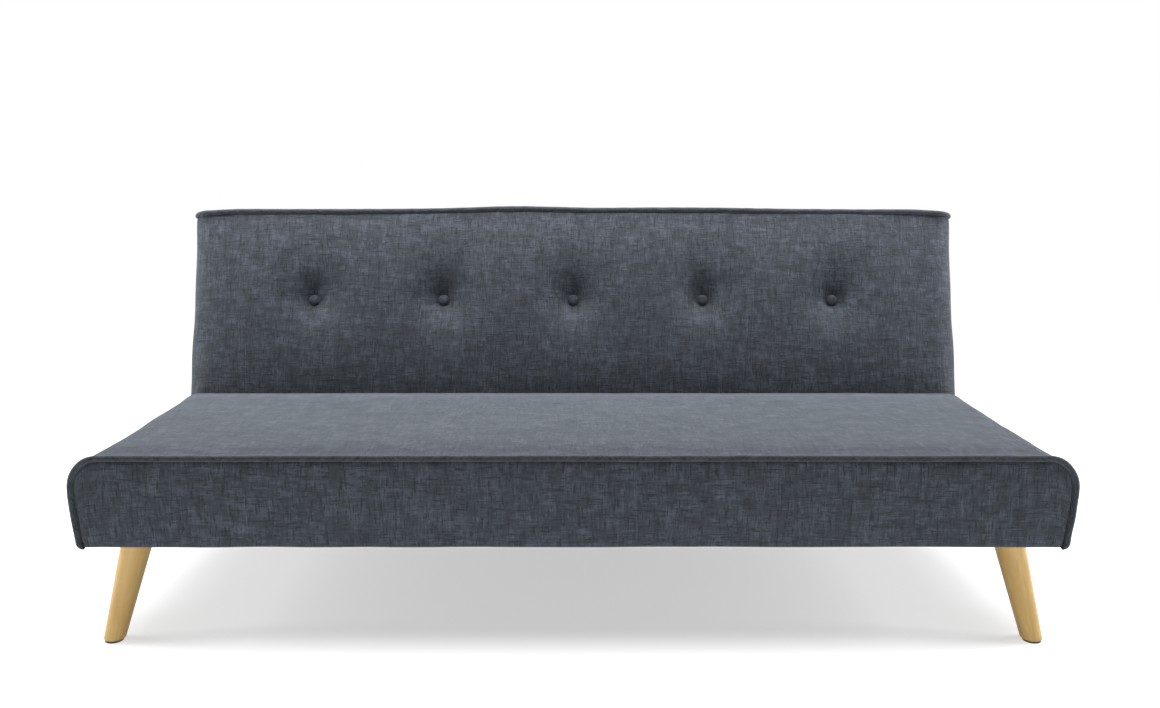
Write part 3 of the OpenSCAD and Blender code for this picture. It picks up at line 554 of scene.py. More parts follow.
OAK = timber("varnished_oak", (0.67, 0.445, 0.165), (0.58, 0.365, 0.120), (0.26, 0.140, 0.050), rough=0.42,
             turned=True)
PINE = timber("sawn_pine", (0.62, 0.45, 0.25), (0.52, 0.35, 0.17), (0.30, 0.17, 0.07), rough=0.7)
HARDBOARD = timber("hardboard", (0.24, 0.15, 0.09), (0.20, 0.12, 0.07), (0.12, 0.07, 0.04), rough=0.75)
BLACK_STEEL = coated("black_powder_coat", (0.016, 0.016, 0.018))
ZINC = plated("zinc_plate", (0.62, 0.63, 0.66))
SPRING = plated("spring_wire", (0.40, 0.40, 0.41), 0.4)
RUBBER = moulded("rubber", (0.022, 0.022, 0.023), 0.72)
GLIDE = moulded("glide_plastic", (0.030, 0.024, 0.020), 0.5)
CAP = moulded("cap_plastic", (0.020, 0.020, 0.021), 0.45)
NYLON = moulded("nylon", (0.70, 0.68, 0.62), 0.4)
TWINE = moulded("waxed_twine", (0.55, 0.50, 0.40), 0.8, 2500.0, 0.0003)
FOAM = foam("seat_foam", (0.72, 0.63, 0.40))
FELT = foam("grey_felt", (0.16, 0.16, 0.17), 900.0)
DUST = spun("dust_cover", (0.018, 0.018, 0.019), (0.030, 0.030, 0.032))
LINING = spun("pocket_lining", (0.026, 0.027, 0.030), (0.040, 0.041, 0.045))

CAD_LOOKS = {
    FOAM: "seat_foam back_foam",
    FELT: "deck_pad",
    SPRING: "seat_springs pawl_spring_left pawl_spring_right",
    ZINC: "spring_clips leg_plate_screws hanger_bolts runner_bolts pivot_bolts pivot_nuts pawl_pins "
          "pawl_clips pawl_left pawl_right arm_bolts arm_nuts",
    BLACK_STEEL: "base_rails rear_cross_tube leg_plates bracket_left bracket_right hinge_arm_left "
                 "hinge_arm_right",
    PINE: "seat_front_rail seat_rear_rail seat_side_rails seat_runners seat_stretchers corner_blocks "
          "back_top_rail back_bottom_rail back_side_rails back_posts mechanism_rails back_links",
    HARDBOARD: "back_panel",
    CAP: "rail_end_caps",
    RUBBER: "rest_pads",
    GLIDE: "glide_front_left glide_front_right glide_rear_left glide_rear_right",
    NYLON: "cord_anchors pivot_bushes",
    TWINE: "tufting_cords",
}
for look, names in CAD_LOOKS.items():
    for name in names.split():
        node = frame["nodes"][name]
        node.data.materials.clear()
        node.data.materials.append(look)


# ---- shapes that both slabs share

def sweep(section, rows, outward, radius):
    """A cloth wrapped along a slab. section is its path across the slab, outward (1 or -1) its normals' side,
    rows are (way along, inward draw, roll angle or None), and radius(n) is the roll's radius for a normal.
    Returns points (across, height, way along), rows by columns."""
    t = unit(np.gradient(section, axis=0))
    n = outward * together(-t[:, 1], t[:, 0])
    r = radius(n)
    biggest = r.max()
    out = []
    for way, draw, roll in rows:
        inward, along = draw, way
        if roll is not None:
            inward = r * (1 - math.cos(roll))
            along = way - r * (1 - math.sin(roll)) - (biggest - r) * (1 - roll / (math.pi / 2))
        flat = section - n * np.broadcast_to(inward, r.shape)[:, None]
        out.append(np.concatenate([flat, np.broadcast_to(along, r.shape)[:, None]], 1))
    return np.array(out)


def seam_draw(way):
    """How far a wrap is drawn in at a distance from its seam."""
    return SEAM_IN * math.exp(-(way / 0.0034) ** 1.6)


def seam_groove(d):
    """How far a panel sinks at a distance from its seam."""
    return GROOVE * np.exp(-(d / GROOVE) ** 2)


def end_panel(columns, top, rows, turn, lip):
    """A panel over the end of a slab: columns across, top(x) its upper edge, rows the distances from it,
    then a turn of that radius under its lower edge and a lip. Returns points (x, depth, height) and uv."""
    height = top(columns)
    share = (height - turn) / max(height.max() - turn, 1e-9)
    turns, lips = 4, 3
    angles = np.radians(np.linspace(0, 90, turns + 1))[1:]
    under = [(turn * (1 - math.cos(a)), turn * (1 - math.sin(a))) for a in angles]
    under += [(turn + lip * k / lips, 0.0) for k in range(1, lips + 1)]
    points, way = [], []
    for k in rows:
        points.append(together(columns, 0.0, height - k * share))
        way.append(height.max() - k)
    for i, (depth, h) in enumerate(under):
        points.append(together(columns, depth, h))
        way.append(turn - (i + 1) * 0.004 if i < turns else -0.001 - lip * (i + 1 - turns) / lips)
    return np.array(points), laid_out(columns, np.array(way))


def rounded(hw, high, r):
    """The upper edge of a panel of that half width and height, with both corners rounded."""
    def top(x):
        beyond = np.maximum(np.abs(x) - (hw - r), 0)
        return high - r + np.sqrt(np.maximum(r * r - beyond ** 2, 0))

    return top


def followed(x, h):
    """The edge through points at those distances from the middle and those heights."""
    order = np.argsort(x)
    return lambda at: np.interp(np.abs(at), x[order], h[order])


def columns_of(points, low, high):
    """Mask of a panel's cells between those distances from the middle."""
    across = np.abs((points[:-1, :-1, 0] + points[:-1, 1:, 0]) / 2)
    return (across > low) & (across < high)


def seam_distance(x, h, hw, top, r):
    """Distance of a panel's points from its seam at the sides and the upper edge."""
    qx, qh = np.abs(x) - (hw - r), h - (top - r)
    return r - np.hypot(np.maximum(qx, 0), np.maximum(qh, 0)) - np.minimum(np.maximum(qx, qh), 0)


def panel_columns(hw, *extra):
    """Places across a panel, close together at its ends, with extra lines at both sides where given."""
    half = hw - spaced(hw, FINE, COARSE)
    half[-1] = 0
    half = np.union1d(np.round(half, 6), np.round(extra, 6)) if extra else np.sort(half)
    return np.concatenate([-half[::-1], half[1:]])


def tube(name, path, radius, reference, seed):
    """A round cord along a path, a little uneven, with its cloth laid out along it."""
    sides = 14
    t = unit(np.gradient(path, axis=0))
    s = unit(np.cross(t, reference))
    q = np.cross(s, t)
    a = np.linspace(0, math.tau, sides, endpoint=False)
    way = lengths(path)
    r = radius * (1 + 0.035 * ripple(way[:, None], a * radius, 0.05, seed))
    spokes = np.cos(a)[:, None] * s[:, None] + np.sin(a)[:, None] * q[:, None]
    round_way = np.linspace(0, math.tau * radius, sides + 1)
    uv = laid_out(round_way, way)[..., ::-1]
    return grid(name, path[:, None] + r[..., None] * spokes, uv, ring=True)


# ---- the seat

def seat_shape(p):
    """How the stuffed seat departs from its cut shape: sides drawn in towards the hem, ears at the lower
    front corners, a low crown, and soft unevenness."""
    x, y, z = np.moveaxis(p, -1, 0).copy()
    side = smooth(np.abs(x), 0.76, SEAT_HW)
    shoulder = TOP - 0.062
    low = np.clip((shoulder - z) / (shoulder - BOTTOM), 0, 1)
    x -= np.sign(x) * side * HEM_DRAW * low ** 1.25
    x += np.sign(x) * side * 0.0010 * np.sin(math.pi * np.clip((z - BOTTOM) / (TOP - BOTTOM), 0, 1))
    x += np.sign(x) * side * 0.0009 * ripple(y, z, 0.16, 5)
    ear = smooth(np.abs(x), SEAT_HW - 0.050, SEAT_HW - 0.016)
    ear *= 1 - smooth(y, FRONT + 0.010, FRONT + 0.060)
    ear *= 1 - smooth(z, BOTTOM, BOTTOM + 0.035)
    z -= 0.0016 * ear
    upper = smooth(z, TOP - 0.030, TOP - 0.002)
    deep = smooth(y, FRONT, FRONT + 0.10) * (1 - smooth(y, REAR - 0.12, REAR))
    z += upper * (0.0019 + (0.0006 + 0.0020 * deep) * (1 - (x / SEAT_HW) ** 2))
    z += upper * (0.35 + 0.65 * deep) * (0.0009 * ripple(x, y, 0.30, 11) + 0.00035 * ripple(x, y, 0.09, 12))
    lower = 1 - smooth(z, BOTTOM, BOTTOM + 0.05)
    z += lower * 0.0006 * ripple(x, y, 0.22, 13)
    return together(x, y, z)


def seat_section():
    """The seat cover's path from its left lip up and over to the right one."""
    hw = SEAT_HW
    return mirrored(joined(
        line((-hw + LIP, BOTTOM), (-hw + HEM_R, BOTTOM), 0.006),
        arc((-hw + HEM_R, BOTTOM + HEM_R), HEM_R, 270, 180),
        line((-hw, BOTTOM + HEM_R), (-hw, TOP - SEAT_R), 0.008),
        arc((-hw + SEAT_R, TOP - SEAT_R), SEAT_R, 180, 90),
        line((-hw + SEAT_R, TOP), (0, TOP), 0.012),
    ))


ROLL = [math.pi / 2 * k / 6 for k in range(7)]      # angles of a cloth that rolls over a slab's end


def seat_wrap():
    """The seat's cover over its top and sides, and its rear face."""
    def radius(n):
        return SIDE_ROLL_R * n[:, 0] ** 2 + SEAT_REAR_R * np.maximum(n[:, 1], 0) ** 2

    section = seat_section()
    start = FRONT + SEAM_BEHIND
    ways = start + spaced(REAR - SEAT_REAR_R - 0.008 - start, FINE, 0.011)
    rows = [(w, seam_draw(w - start), None) for w in ways]
    rows += [(REAR, 0.0, a) for a in ROLL]
    p = sweep(section, rows, 1, radius)
    ring = p[-1][:, :2]
    p = p[..., [0, 2, 1]]
    way = lengths(p[:, p.shape[1] // 2])
    wrap = grid("seat_wrap_part", seat_shape(p), laid_out(lengths(section) - 1.0, way))

    # the rear face, which carries on from the rolled edge, open where the base rails pass
    half = ring[len(ring) // 2:]
    turned = half[half[:, 1] >= BOTTOM + 0.05]
    edge = followed(turned[:, 0], turned[:, 1])

    def top(x):
        return edge(x) - BOTTOM

    inner, outer = RAIL_IN - RAIL_GAP, RAIL_OUT + RAIL_GAP
    over = RAIL_TOP + RAIL_GAP - BOTTOM
    columns = panel_columns(turned[:, 0].max(), inner, outer)
    span = top(0.0)
    rows = np.union1d(np.round(spaced(span - SEAT_TURN, 0.008, COARSE), 6), [round(span - over, 6)])
    q, uv = end_panel(columns, top, rows, SEAT_TURN, LIP - SEAT_TURN)
    low = (q[:-1, :-1, 2] + q[1:, 1:, 2]) / 2 < over
    keep = ~(columns_of(q, inner, outer) & low)
    q = together(q[..., 0], REAR - q[..., 1], BOTTOM + q[..., 2])
    uv = together(uv[..., 0], way[-1] + span - uv[..., 1])
    rear = grid("seat_rear_part", seat_shape(q), uv, keep=keep, flip=True)
    return join("seat_wrap", wrap, rear)


def seat_front_panel():
    """The panel over the seat's front, sunk at its seam and a little full."""
    shape = SEAT_HW - SEAM_IN, TOP - BOTTOM - SEAM_IN, SEAT_R - SEAM_IN
    rows = spaced(shape[1] - SEAT_TURN, FINE, COARSE)
    p, uv = end_panel(panel_columns(shape[0]), rounded(*shape), rows, SEAT_TURN, LIP - SEAT_TURN)
    d = np.maximum(seam_distance(p[..., 0], p[..., 2], *shape), 0)
    in_plane = 1 - smooth(p[..., 1], 0.0, 0.010)
    pucker = 1 + 0.18 * ripple(uv[..., 0], d, 0.045, 21)
    depth = p[..., 1] + in_plane * (seam_groove(d) * pucker - FRONT_FULL * (1 - np.exp(-d / 0.032)))
    depth += in_plane * smooth(d, 0, 0.03) * (0.0007 * ripple(p[..., 0], p[..., 2], 0.24, 22)
                                             + 0.0003 * ripple(p[..., 0], p[..., 2], 0.07, 23))
    p = together(p[..., 0], FRONT + depth, BOTTOM + p[..., 2])
    return grid("seat_front_panel", seat_shape(p), uv)


def seat_piping():
    """The cord in the seam round the seat's front."""
    inset = BED - PIPE_R
    hw, r = SEAT_HW - inset, SEAT_R - inset
    top = TOP - inset
    hook_r = 0.007
    hook = BOTTOM + 0.011
    path = mirrored(joined(
        arc((-hw + hook_r, hook), hook_r, 280, 180, 0.002),
        line((-hw, hook), (-hw, top - r), 0.005),
        arc((-hw + r, top - r), r, 180, 90),
        line((-hw + r, top), (0, top), 0.006),
    ))
    path = together(path[:, 0], FRONT + inset, path[:, 1])
    path[:, 1] += 0.0005 * ripple(path[:, 0], path[:, 2], 0.11, 31)
    return tube("seat_piping_cord", seat_shape(path), PIPE_R, np.array([0, 1, 0]), 32)


def seat_held(p):
    """Where the seat's cover is held: everywhere but on its upper part, off its seams."""
    y, z = p[:, 1], p[:, 2]
    free = smooth(y, FRONT + 0.006, FRONT + 0.060) * (1 - smooth(y, REAR - 0.060, REAR - 0.015))
    return 1 - free * smooth(z, TOP - 0.110, TOP - 0.070)


seat = seat_wrap()
swell(seat, seat_held)
refine(dressed(seat, "base", LINEN, ["seat_cover", "seat_foam"]))
refine(dressed(seat_front_panel(), "base", LINEN))
dressed(seat_piping(), "base", SEAM_SHADED_LINEN, ["seat_piping"])


# ---- the back

def crown(x):
    """Height of the back's upper seam against its cut shape: lower at the corners, fuller near the middle."""
    corner = smooth(np.abs(x), BACK_HW - 0.110, BACK_HW - 0.004)
    fuller = 0.0072 * np.exp(-((x + 0.13) / 0.14) ** 2) + 0.0030 * np.exp(-((x - 0.25) / 0.28) ** 2)
    return fuller - 0.0062 - 0.0045 * corner


def back_shape(p):
    """How the stuffed back departs from its cut shape: the buttons' dimples, a full face between them, and
    soft unevenness. Points are (across, rearward, up)."""
    x, v, u = np.moveaxis(p, -1, 0).copy()
    face = 1 - smooth(v, 0.004, 0.030)
    inner = smooth(BACK_HW - np.abs(x), 0.0, 0.20) * smooth(u, 0.02, 0.10)
    full = FULLNESS * inner * np.clip(1 - ((u - BACK_L / 2) / (BACK_L / 2)) ** 2, 0, 1)
    dip = np.zeros_like(x)
    crease = np.zeros_like(x)
    for i, at in enumerate(BUTTONS):
        dx, du = x - at, u - BUTTON_U
        r = np.hypot(dx, du)
        around = np.arctan2(du, dx)
        off = np.maximum(r - DIMPLE_FLAT, 0) / np.maximum(r, 1e-6)
        reach = np.where(du > 0, DIMPLE_UP, DIMPLE_DOWN)
        rho = off * np.sqrt((dx / DIMPLE_SIDE) ** 2 + (du / reach) ** 2)
        dip = np.maximum(dip, np.clip(1 - rho, 0, 1) ** 2.2)
        waves = np.sin(7 * around + 1.3 * i) + 0.6 * np.sin(11 * around + 2.1 * i)
        crease += 0.00055 * waves * np.exp(-((r - 0.030) / 0.022) ** 2) * smooth(r, 0.012, 0.024)
    v += face * (dip * DIMPLE - (1 - dip) * full + crease)
    v += face * (0.0009 * ripple(x, u, 0.28, 41) + 0.0004 * ripple(x, u, 0.085, 42)) * (0.3 + 0.7 * inner)
    rim = BACK_HW - np.abs(x)
    v += face * (0.0045 * np.clip(1 - rim / 0.20, 0, 1) ** 1.8 + 0.0035 * np.clip(1 - rim / 0.05, 0, 1) ** 2)
    side = smooth(np.abs(x), BACK_HW - 0.02, BACK_HW - 0.002)
    x += np.sign(x) * side * (0.0008 * ripple(v, u, 0.15, 43) - 0.0012 * (1 - smooth(u, 0.0, 0.10)))
    return together(x, v, u)


def pocket_cells(p):
    """Mask of the cells of a grid of points that lie in the hinges' pockets."""
    x, v, u = np.moveaxis(sum(corners_of(p)) / 4, -1, 0)
    return (np.abs(x) > POCKET_IN) & (np.abs(x) < POCKET_OUT) & (v > POCKET_FRONT - 1e-4) & (u < POCKET_TOP)


def back_section():
    """The back cover's path from its left lip round the face to the right one."""
    hw, r = BACK_HW, BACK_R
    return mirrored(joined(
        line((-hw + LIP + 0.010, BACK_T), (-hw + HEM_R, BACK_T), 0.007),
        arc((-hw + HEM_R, BACK_T - HEM_R), HEM_R, 90, 180),
        line((-hw, BACK_T - HEM_R), (-hw, r), 0.008),
        arc((-hw + r, r), r, 180, 270),
        line((-hw + r, 0), (-POCKET_IN, 0), 0.008),
        line((-POCKET_IN, 0), (0, 0), 0.0075),
    ))


def back_wrap():
    """The back's cover over its face and sides, and its lower end, both open at the hinges' pockets."""
    def radius(n):
        toe, heel = np.maximum(-n[:, 1], 0), np.maximum(n[:, 1], 0)
        return SIDE_ROLL_R * n[:, 0] ** 2 + TOE_R * toe ** 2 + HEEL_R * heel ** 2

    section = back_section()
    wall = math.acos(1 - POCKET_FRONT / TOE_R)      # the roll's angle at the pockets' front wall
    rolls = sorted([a for a in ROLL if abs(a - wall) > 0.08] + [wall], reverse=True)
    end = BACK_L - SEAM_BEHIND
    ways = end - spaced(end - TOE_R - 0.006, FINE, 0.0075)[::-1]
    rows = [(w, seam_draw(end - w), None) for w in ways]
    rolled = sweep(section, [(0.0, 0.0, a) for a in rolls], -1, radius)
    rolled[..., 2] = -rolled[..., 2]
    p = np.concatenate([rolled, sweep(section, rows, -1, radius)])
    ring = rolled[0][:, :2]
    p[..., 2] += crown(p[..., 0]) * smooth(p[..., 2], 0.1, BACK_L)
    way = lengths(p[:, p.shape[1] // 2])
    uv = laid_out(lengths(section) + 0.37, way + 0.21)
    wrap = grid("back_wrap_part", on_back(back_shape(p)), uv, keep=~pocket_cells(p))

    # the lower end, which has no turned rows beyond the lips of the sides
    turned = ring[ring[:, 1] <= 0.060]
    side = followed(np.abs(turned[:, 0]), turned[:, 1])

    def top(x):
        return BACK_T - side(x)

    lips = BACK_HW - LIP - 0.010
    columns = panel_columns(np.abs(turned[:, 0]).max(), POCKET_IN, POCKET_OUT, lips)
    rows = spaced(BACK_T - TOE_R - HEEL_R, 0.008, COARSE)
    q, uv = end_panel(columns, top, rows, HEEL_R, 0.023)
    q = together(q[..., 0], BACK_T - q[..., 2], q[..., 1])
    keep = ~pocket_cells(q)
    keep[-7:] &= ~columns_of(q, lips, math.inf)[-7:]
    lower = grid("back_lower_part", on_back(back_shape(q)), uv, keep=keep, flip=True)
    return join("back_wrap", wrap, lower)


def back_top_panel():
    """The panel over the back's upper end."""
    shape = BACK_HW - SEAM_IN, BACK_T - SEAM_IN, BACK_R - SEAM_IN
    rows = spaced(shape[1] - BACK_TURN, FINE, COARSE)
    p, uv = end_panel(panel_columns(shape[0]), rounded(*shape), rows, BACK_TURN, 0.022)
    d = np.maximum(seam_distance(p[..., 0], p[..., 2], *shape), 0)
    in_plane = 1 - smooth(p[..., 1], 0.0, 0.010)
    depth = p[..., 1] + in_plane * (seam_groove(d) - 0.0010 * (1 - np.exp(-d / 0.02)))
    depth += in_plane * smooth(d, 0, 0.03) * 0.0005 * ripple(p[..., 0], p[..., 2], 0.2, 51)
    p = together(p[..., 0], BACK_T - p[..., 2], BACK_L + crown(p[..., 0]) - depth)
    return grid("back_top_panel", on_back(p), uv)


def back_piping():
    """The cord in the seam along the back's upper edge."""
    inset = BED - PIPE_R
    hw, r = BACK_HW - inset, BACK_R - inset
    path = mirrored(joined(
        line((-hw, BACK_T - HEM_R + 0.004), (-hw, inset + r), 0.005),
        arc((-hw + r, inset + r), r, 180, 270),
        line((-hw + r, inset), (0, inset), 0.006),
    ))
    up = BACK_L - inset + crown(path[:, 0]) + 0.0007 * ripple(path[:, 0], path[:, 1], 0.5, 61)
    path = on_back(together(path[:, 0], path[:, 1], up))
    return tube("back_piping_cord", path, PIPE_R, np.array([0, math.sin(LEAN), math.cos(LEAN)]), 62)


def button(i, at):
    """A covered button: a low dome whose cloth is drawn round its rim in small pleats."""
    sides = 40
    a = np.linspace(0, math.tau, sides, endpoint=False)
    ring = np.linspace(0, math.tau, sides + 1)
    profile = [(0.03, 0.0090), (0.26, 0.0088), (0.48, 0.0081), (0.67, 0.0069), (0.82, 0.0053), (0.91, 0.0038),
               (0.95, 0.0024), (0.92, 0.0010), (0.81, 0.0002), (0.60, 0.0)]     # share of the radius, height
    rim = 6
    points, uv = [], []
    for k, (share, h) in enumerate(profile):
        flat = share * BUTTON_R
        r = flat + 0.00022 * math.exp(-((k - rim) / 1.8) ** 2) * np.sin(13 * a + i)
        points.append(together(at + r * np.cos(a), DIMPLE - h, BUTTON_U + r * np.sin(a)))
        if k > rim:
            flat = BUTTON_R * 1.3 + 0.002 * (k - rim)
        uv.append(together(at * 1.7 + flat * np.cos(ring), 0.3 + flat * np.sin(ring)))
    return grid("back_button_%d" % (i + 1), on_back(np.array(points)), np.array(uv), ring=True)


def back_held(p):
    """Where the back's cover is held: at its seams, its rear part and round its buttons."""
    x, v, u = off_back(p).T
    free = smooth(u, 0.030, 0.075) * (1 - smooth(u, BACK_L - 0.060, BACK_L - 0.006))
    free *= 1 - smooth(v, 0.060, 0.085)
    for at in BUTTONS:
        free *= smooth(np.hypot(x - at, u - BUTTON_U), 0.014, 0.050)
    return 1 - free


back = back_wrap()
swell(back, back_held)
refine(dressed(back, "back", LINEN, ["back_cover", "back_foam"]))
refine(dressed(back_top_panel(), "back", LINEN))
dressed(back_piping(), "back", SEAM_SHADED_LINEN, ["back_piping"])
for i, at in enumerate(BUTTONS):
    refine(dressed(button(i, at), "back", LINEN, ["buttons"]))


# ---- linings, rear and dust cloths, staples

def pocket_lining(side):
    """The cloth that lines a hinge's pocket: front wall, top and both sides."""
    rear = BACK_T - 0.003
    across = np.linspace(POCKET_IN, POCKET_OUT, 7)
    deep = np.linspace(POCKET_FRONT, rear, 8)
    xs = np.concatenate([np.full(8, POCKET_IN), across[1:-1], np.full(8, POCKET_OUT)])
    vs = np.concatenate([np.linspace(rear, POCKET_FRONT, 8), np.full(5, POCKET_FRONT), deep])
    us = np.linspace(0.001, POCKET_TOP, 9)
    low = np.maximum(us[:, None], np.where(vs[None, :] < TOE_R, 0.004, 0.001))
    wall = together(side * xs[None, :], vs[None, :], low)
    uv = laid_out(lengths(together(xs, vs)), us)
    walls = grid("lining_walls", on_back(wall), uv, flip=side < 0)
    deep = np.linspace(POCKET_FRONT, rear, 9)
    roof = together(side * across[None, :], deep[:, None], POCKET_TOP)
    top = grid("lining_top", on_back(roof), laid_out(across, deep), flip=side > 0)
    return join("pocket_lining_%s" % ("left" if side < 0 else "right"), walls, top)


for side in (-1, 1):
    dressed(pocket_lining(side), "back", LINING)


def cloth_sheet(name, place, hw, low, high, slack, seed, cut=None):
    """A thin cloth stapled flat over an opening, with a folded hem. place(x, out, h) puts a point; cut(x, h)
    is true where cells are left out. Lines of the grid run at the pockets' edges."""
    sides = [-POCKET_OUT - HEMMED, POCKET_IN - HEMMED, -POCKET_IN + HEMMED, POCKET_OUT + HEMMED]
    xs = np.union1d(np.round(np.linspace(-hw, hw, 150), 6), np.round(sides, 6))
    hs = np.union1d(np.round(np.linspace(low, high, 48), 6), [round(POCKET_TOP + HEMMED, 6)])
    hs = hs[(hs >= low - 1e-9) & (hs <= high + 1e-9)]
    x, h = np.meshgrid(xs, hs)
    edge = np.minimum(hw - np.abs(x), np.minimum(h - low, high - h))
    out = 0.0010 * (1 - smooth(edge, 0.006, 0.012))
    out += slack * smooth(edge, 0.01, 0.12) * ripple(x, h, 0.30, seed)
    out += 0.0006 * smooth(edge, 0.012, 0.03) * ripple(x * 0.4, h, 0.05, seed + 1)
    keep = None
    if cut:
        keep = ~cut((x[:-1, :-1] + x[1:, 1:]) / 2, (h[:-1, :-1] + h[1:, 1:]) / 2)
    return grid(name, place(x, out, h), together(x, h), keep=keep)


def staples(name, spots, place):
    """Wire staples, each a low bridge 11 mm long, at spots (x, h, turn)."""
    half, thick, proud = 0.0055, 0.0006, 0.0009
    bm = bmesh.new()
    for x, h, turn in spots:
        c, s = math.cos(turn), math.sin(turn)
        corners = []
        for out in (0.0, proud):
            for along, wide in ((-half, -thick), (half, -thick), (half, thick), (-half, thick)):
                corners.append(bm.verts.new(place(x + along * c - wide * s, out, h + along * s + wide * c)))
        for f in ((3, 2, 1, 0), (4, 5, 6, 7), (0, 1, 5, 4), (1, 2, 6, 5), (2, 3, 7, 6), (3, 0, 4, 7)):
            bm.faces.new([corners[k] for k in f])
    mesh = bpy.data.meshes.new(name)
    bm.to_mesh(mesh)
    bm.free()
    return new_object(name, mesh)


def edge_spots(hw, low, high, gap, inset=0.005):
    """Places for staples a little inside a rectangle, nearly square to its edge."""
    hw, low, high = hw - inset, low + inset, high - inset
    spots = []
    n = round(2 * hw / gap)
    for k in range(n + 1):
        x = -hw + 2 * hw * k / n
        spots += [(x, low, 0.10 * math.sin(3.1 * k)), (x, high, 0.12 * math.cos(2.3 * k))]
    upright = math.pi / 2
    m = round((high - low) / gap)
    for k in range(1, m):
        h = low + (high - low) * k / m
        spots += [(-hw, h, upright + 0.1 * math.sin(5 * k)), (hw, h, upright + 0.1 * math.cos(4 * k))]
    return spots


hinge_at = next(j for j in frame["joints"] if j["name"] == "back_hinge")["pos_m"]
hinge_u = off_back(np.array(hinge_at))[2]
pad_lo, pad_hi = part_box("rest_pads")
SHEET_OUT = 0.0005      # the rear cloth stands this far off the slab,
PRESSED_IN = 0.0009     # and is pressed this far in by the pads


def behind_back(x, out, h):
    """Points of the rear cloth, which the pads that carry the level back have pressed flat."""
    off_pad = np.maximum(np.abs(np.abs(x) - pad_hi.x + 0.015) - 0.015, 0)
    along = h - hinge_u + hinge_at[1]
    off_pad = np.hypot(off_pad, np.maximum(np.maximum(pad_lo.y - along, along - pad_hi.y), 0))
    pressed = 1 - smooth(off_pad, 0.004, 0.016)
    out = SHEET_OUT + out - pressed * (PRESSED_IN + out)
    return on_back(together(x, BACK_T + out, h))


def under_seat(x, out, h):
    """Points of the dust cloth."""
    return together(x, h, BOTTOM - 0.0010 - out)


def in_pocket(x, h):
    across = np.abs(x)
    return (across > POCKET_IN - HEMMED) & (across < POCKET_OUT + HEMMED) & (h < POCKET_TOP + HEMMED)


cloth_hw = BACK_HW - 0.030
cloth_low = 0.034
cloth_high = BACK_L - 0.030
rear_cloth = cloth_sheet("back_rear_sheet", behind_back, cloth_hw, cloth_low, cloth_high, 0.0010, 71,
                         in_pocket)
dressed(rear_cloth, "back", DUST, ["back_rear_cloth"])
spots = [s for s in edge_spots(cloth_hw, cloth_low, cloth_high, 0.042) if not in_pocket(s[0], s[1])]
dressed(staples("back_staples", spots, behind_back), "back", ZINC)

dust_hw = 0.776
dust_low = FRONT + 0.016
dust_high = REAR - 0.016
dust = cloth_sheet("seat_dust_sheet", under_seat, dust_hw, dust_low, dust_high, 0.0012, 81)
dressed(dust, "base", DUST, ["dust_cloth"])
spots = edge_spots(dust_hw, dust_low, dust_high, 0.048)
dressed(staples("seat_staples", spots, under_seat), "base", ZINC)


# ---- legs

HEAD_EDGE = ((0.0, 0.0030), (0.0005, 0.0014), (0.0016, 0.0004), (0.0032, 0.0))   # way from the end, draw in
FOOT_EDGE = ((0.0036, 0.0), (0.0018, 0.0006), (0.0006, 0.0018), (0.0, 0.0036))


def leg(name, seed):
    """A turned, tapered leg from plate to glide. The seed gives it its own place in the wood."""
    lo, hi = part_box(name)
    glide_lo, glide_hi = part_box(name.replace("leg", "glide"))
    foot = np.array([(glide_lo.x + glide_hi.x) / 2, (glide_lo.y + glide_hi.y) / 2, 0.0])
    side, end = math.copysign(1, foot[0]), math.copysign(1, foot[1])
    head = np.array([foot[0] - side * LEG_ASIDE, foot[1] - end * LEG_ENDWAYS, hi.z])
    length = np.linalg.norm(foot - head)
    d = (foot - head) / length
    e1 = np.cross(d, [0, 1, 0])
    e1 /= np.linalg.norm(e1)
    e2 = np.cross(d, e1)
    last = length * (1 - lo.z / hi.z)
    sides = 48
    a = np.linspace(0, math.tau, sides, endpoint=False)
    spokes = np.cos(a)[:, None] * e1 + np.sin(a)[:, None] * e2
    middle = [(w, 0.0) for w in np.linspace(0.010, last - 0.008, 18)]
    shape = np.array([*HEAD_EDGE, *middle, *((last - w, draw) for w, draw in FOOT_EDGE)])
    points = []
    for w, draw in shape:
        r = LEG_HEAD_R + (LEG_FOOT_R - LEG_HEAD_R) * w / length - draw
        ring = head + w * d + r * spokes
        points.append(ring - ((r * spokes)[:, 2] / d[2])[:, None] * d)
    around = np.linspace(0, math.tau * 0.024, sides + 1) + seed * 0.37
    uv = laid_out(around, shape[:, 0] + seed * 0.71)
    parts = [grid(name + "_shell", np.array(points), uv, ring=True, flip=True)]
    for ring, way, top in ((points[0], 0.0, True), (points[-1], last, False)):
        centre = ring.mean(0)
        disc = np.array([centre + (ring - centre) * k for k in (1.0, 0.6, 0.25, 0.02)])
        uv = laid_out(around, np.array([0, 0.01, 0.02, 0.03]) + way)
        parts.append(grid(name + "_end", disc, uv, ring=True, flip=top))
    return join(name.replace("leg_", "oak_leg_"), *parts)


for seed, name in enumerate(("leg_front_left", "leg_front_right", "leg_rear_left", "leg_rear_right"), 1):
    dressed(leg(name, seed), "base", OAK, [name])


# ---- floor, light and camera

floor_mesh = bpy.data.meshes.new("floor")
floor_mesh.from_pydata([(-9, -9, 0), (9, -9, 0), (9, 9, 0), (-9, 9, 0)], [], [(0, 1, 2, 3)])
floor = new_object("floor", floor_mesh)

PAINTED_SHADOW_GLOW = 0.505      # the floor's glow under the sofa, a painted shadow, lower than the white glow of open floor
PAINTED_SHADOW_END_ASIDE = (0.72, 1.06)       # and where the painted shadow fades into the white of open floor: aside, ahead and behind
PAINTED_SHADOW_END_AHEAD = (FRONT + 0.105, FRONT - 0.050)
PAINTED_SHADOW_END_BEHIND = (0.52, 0.85)


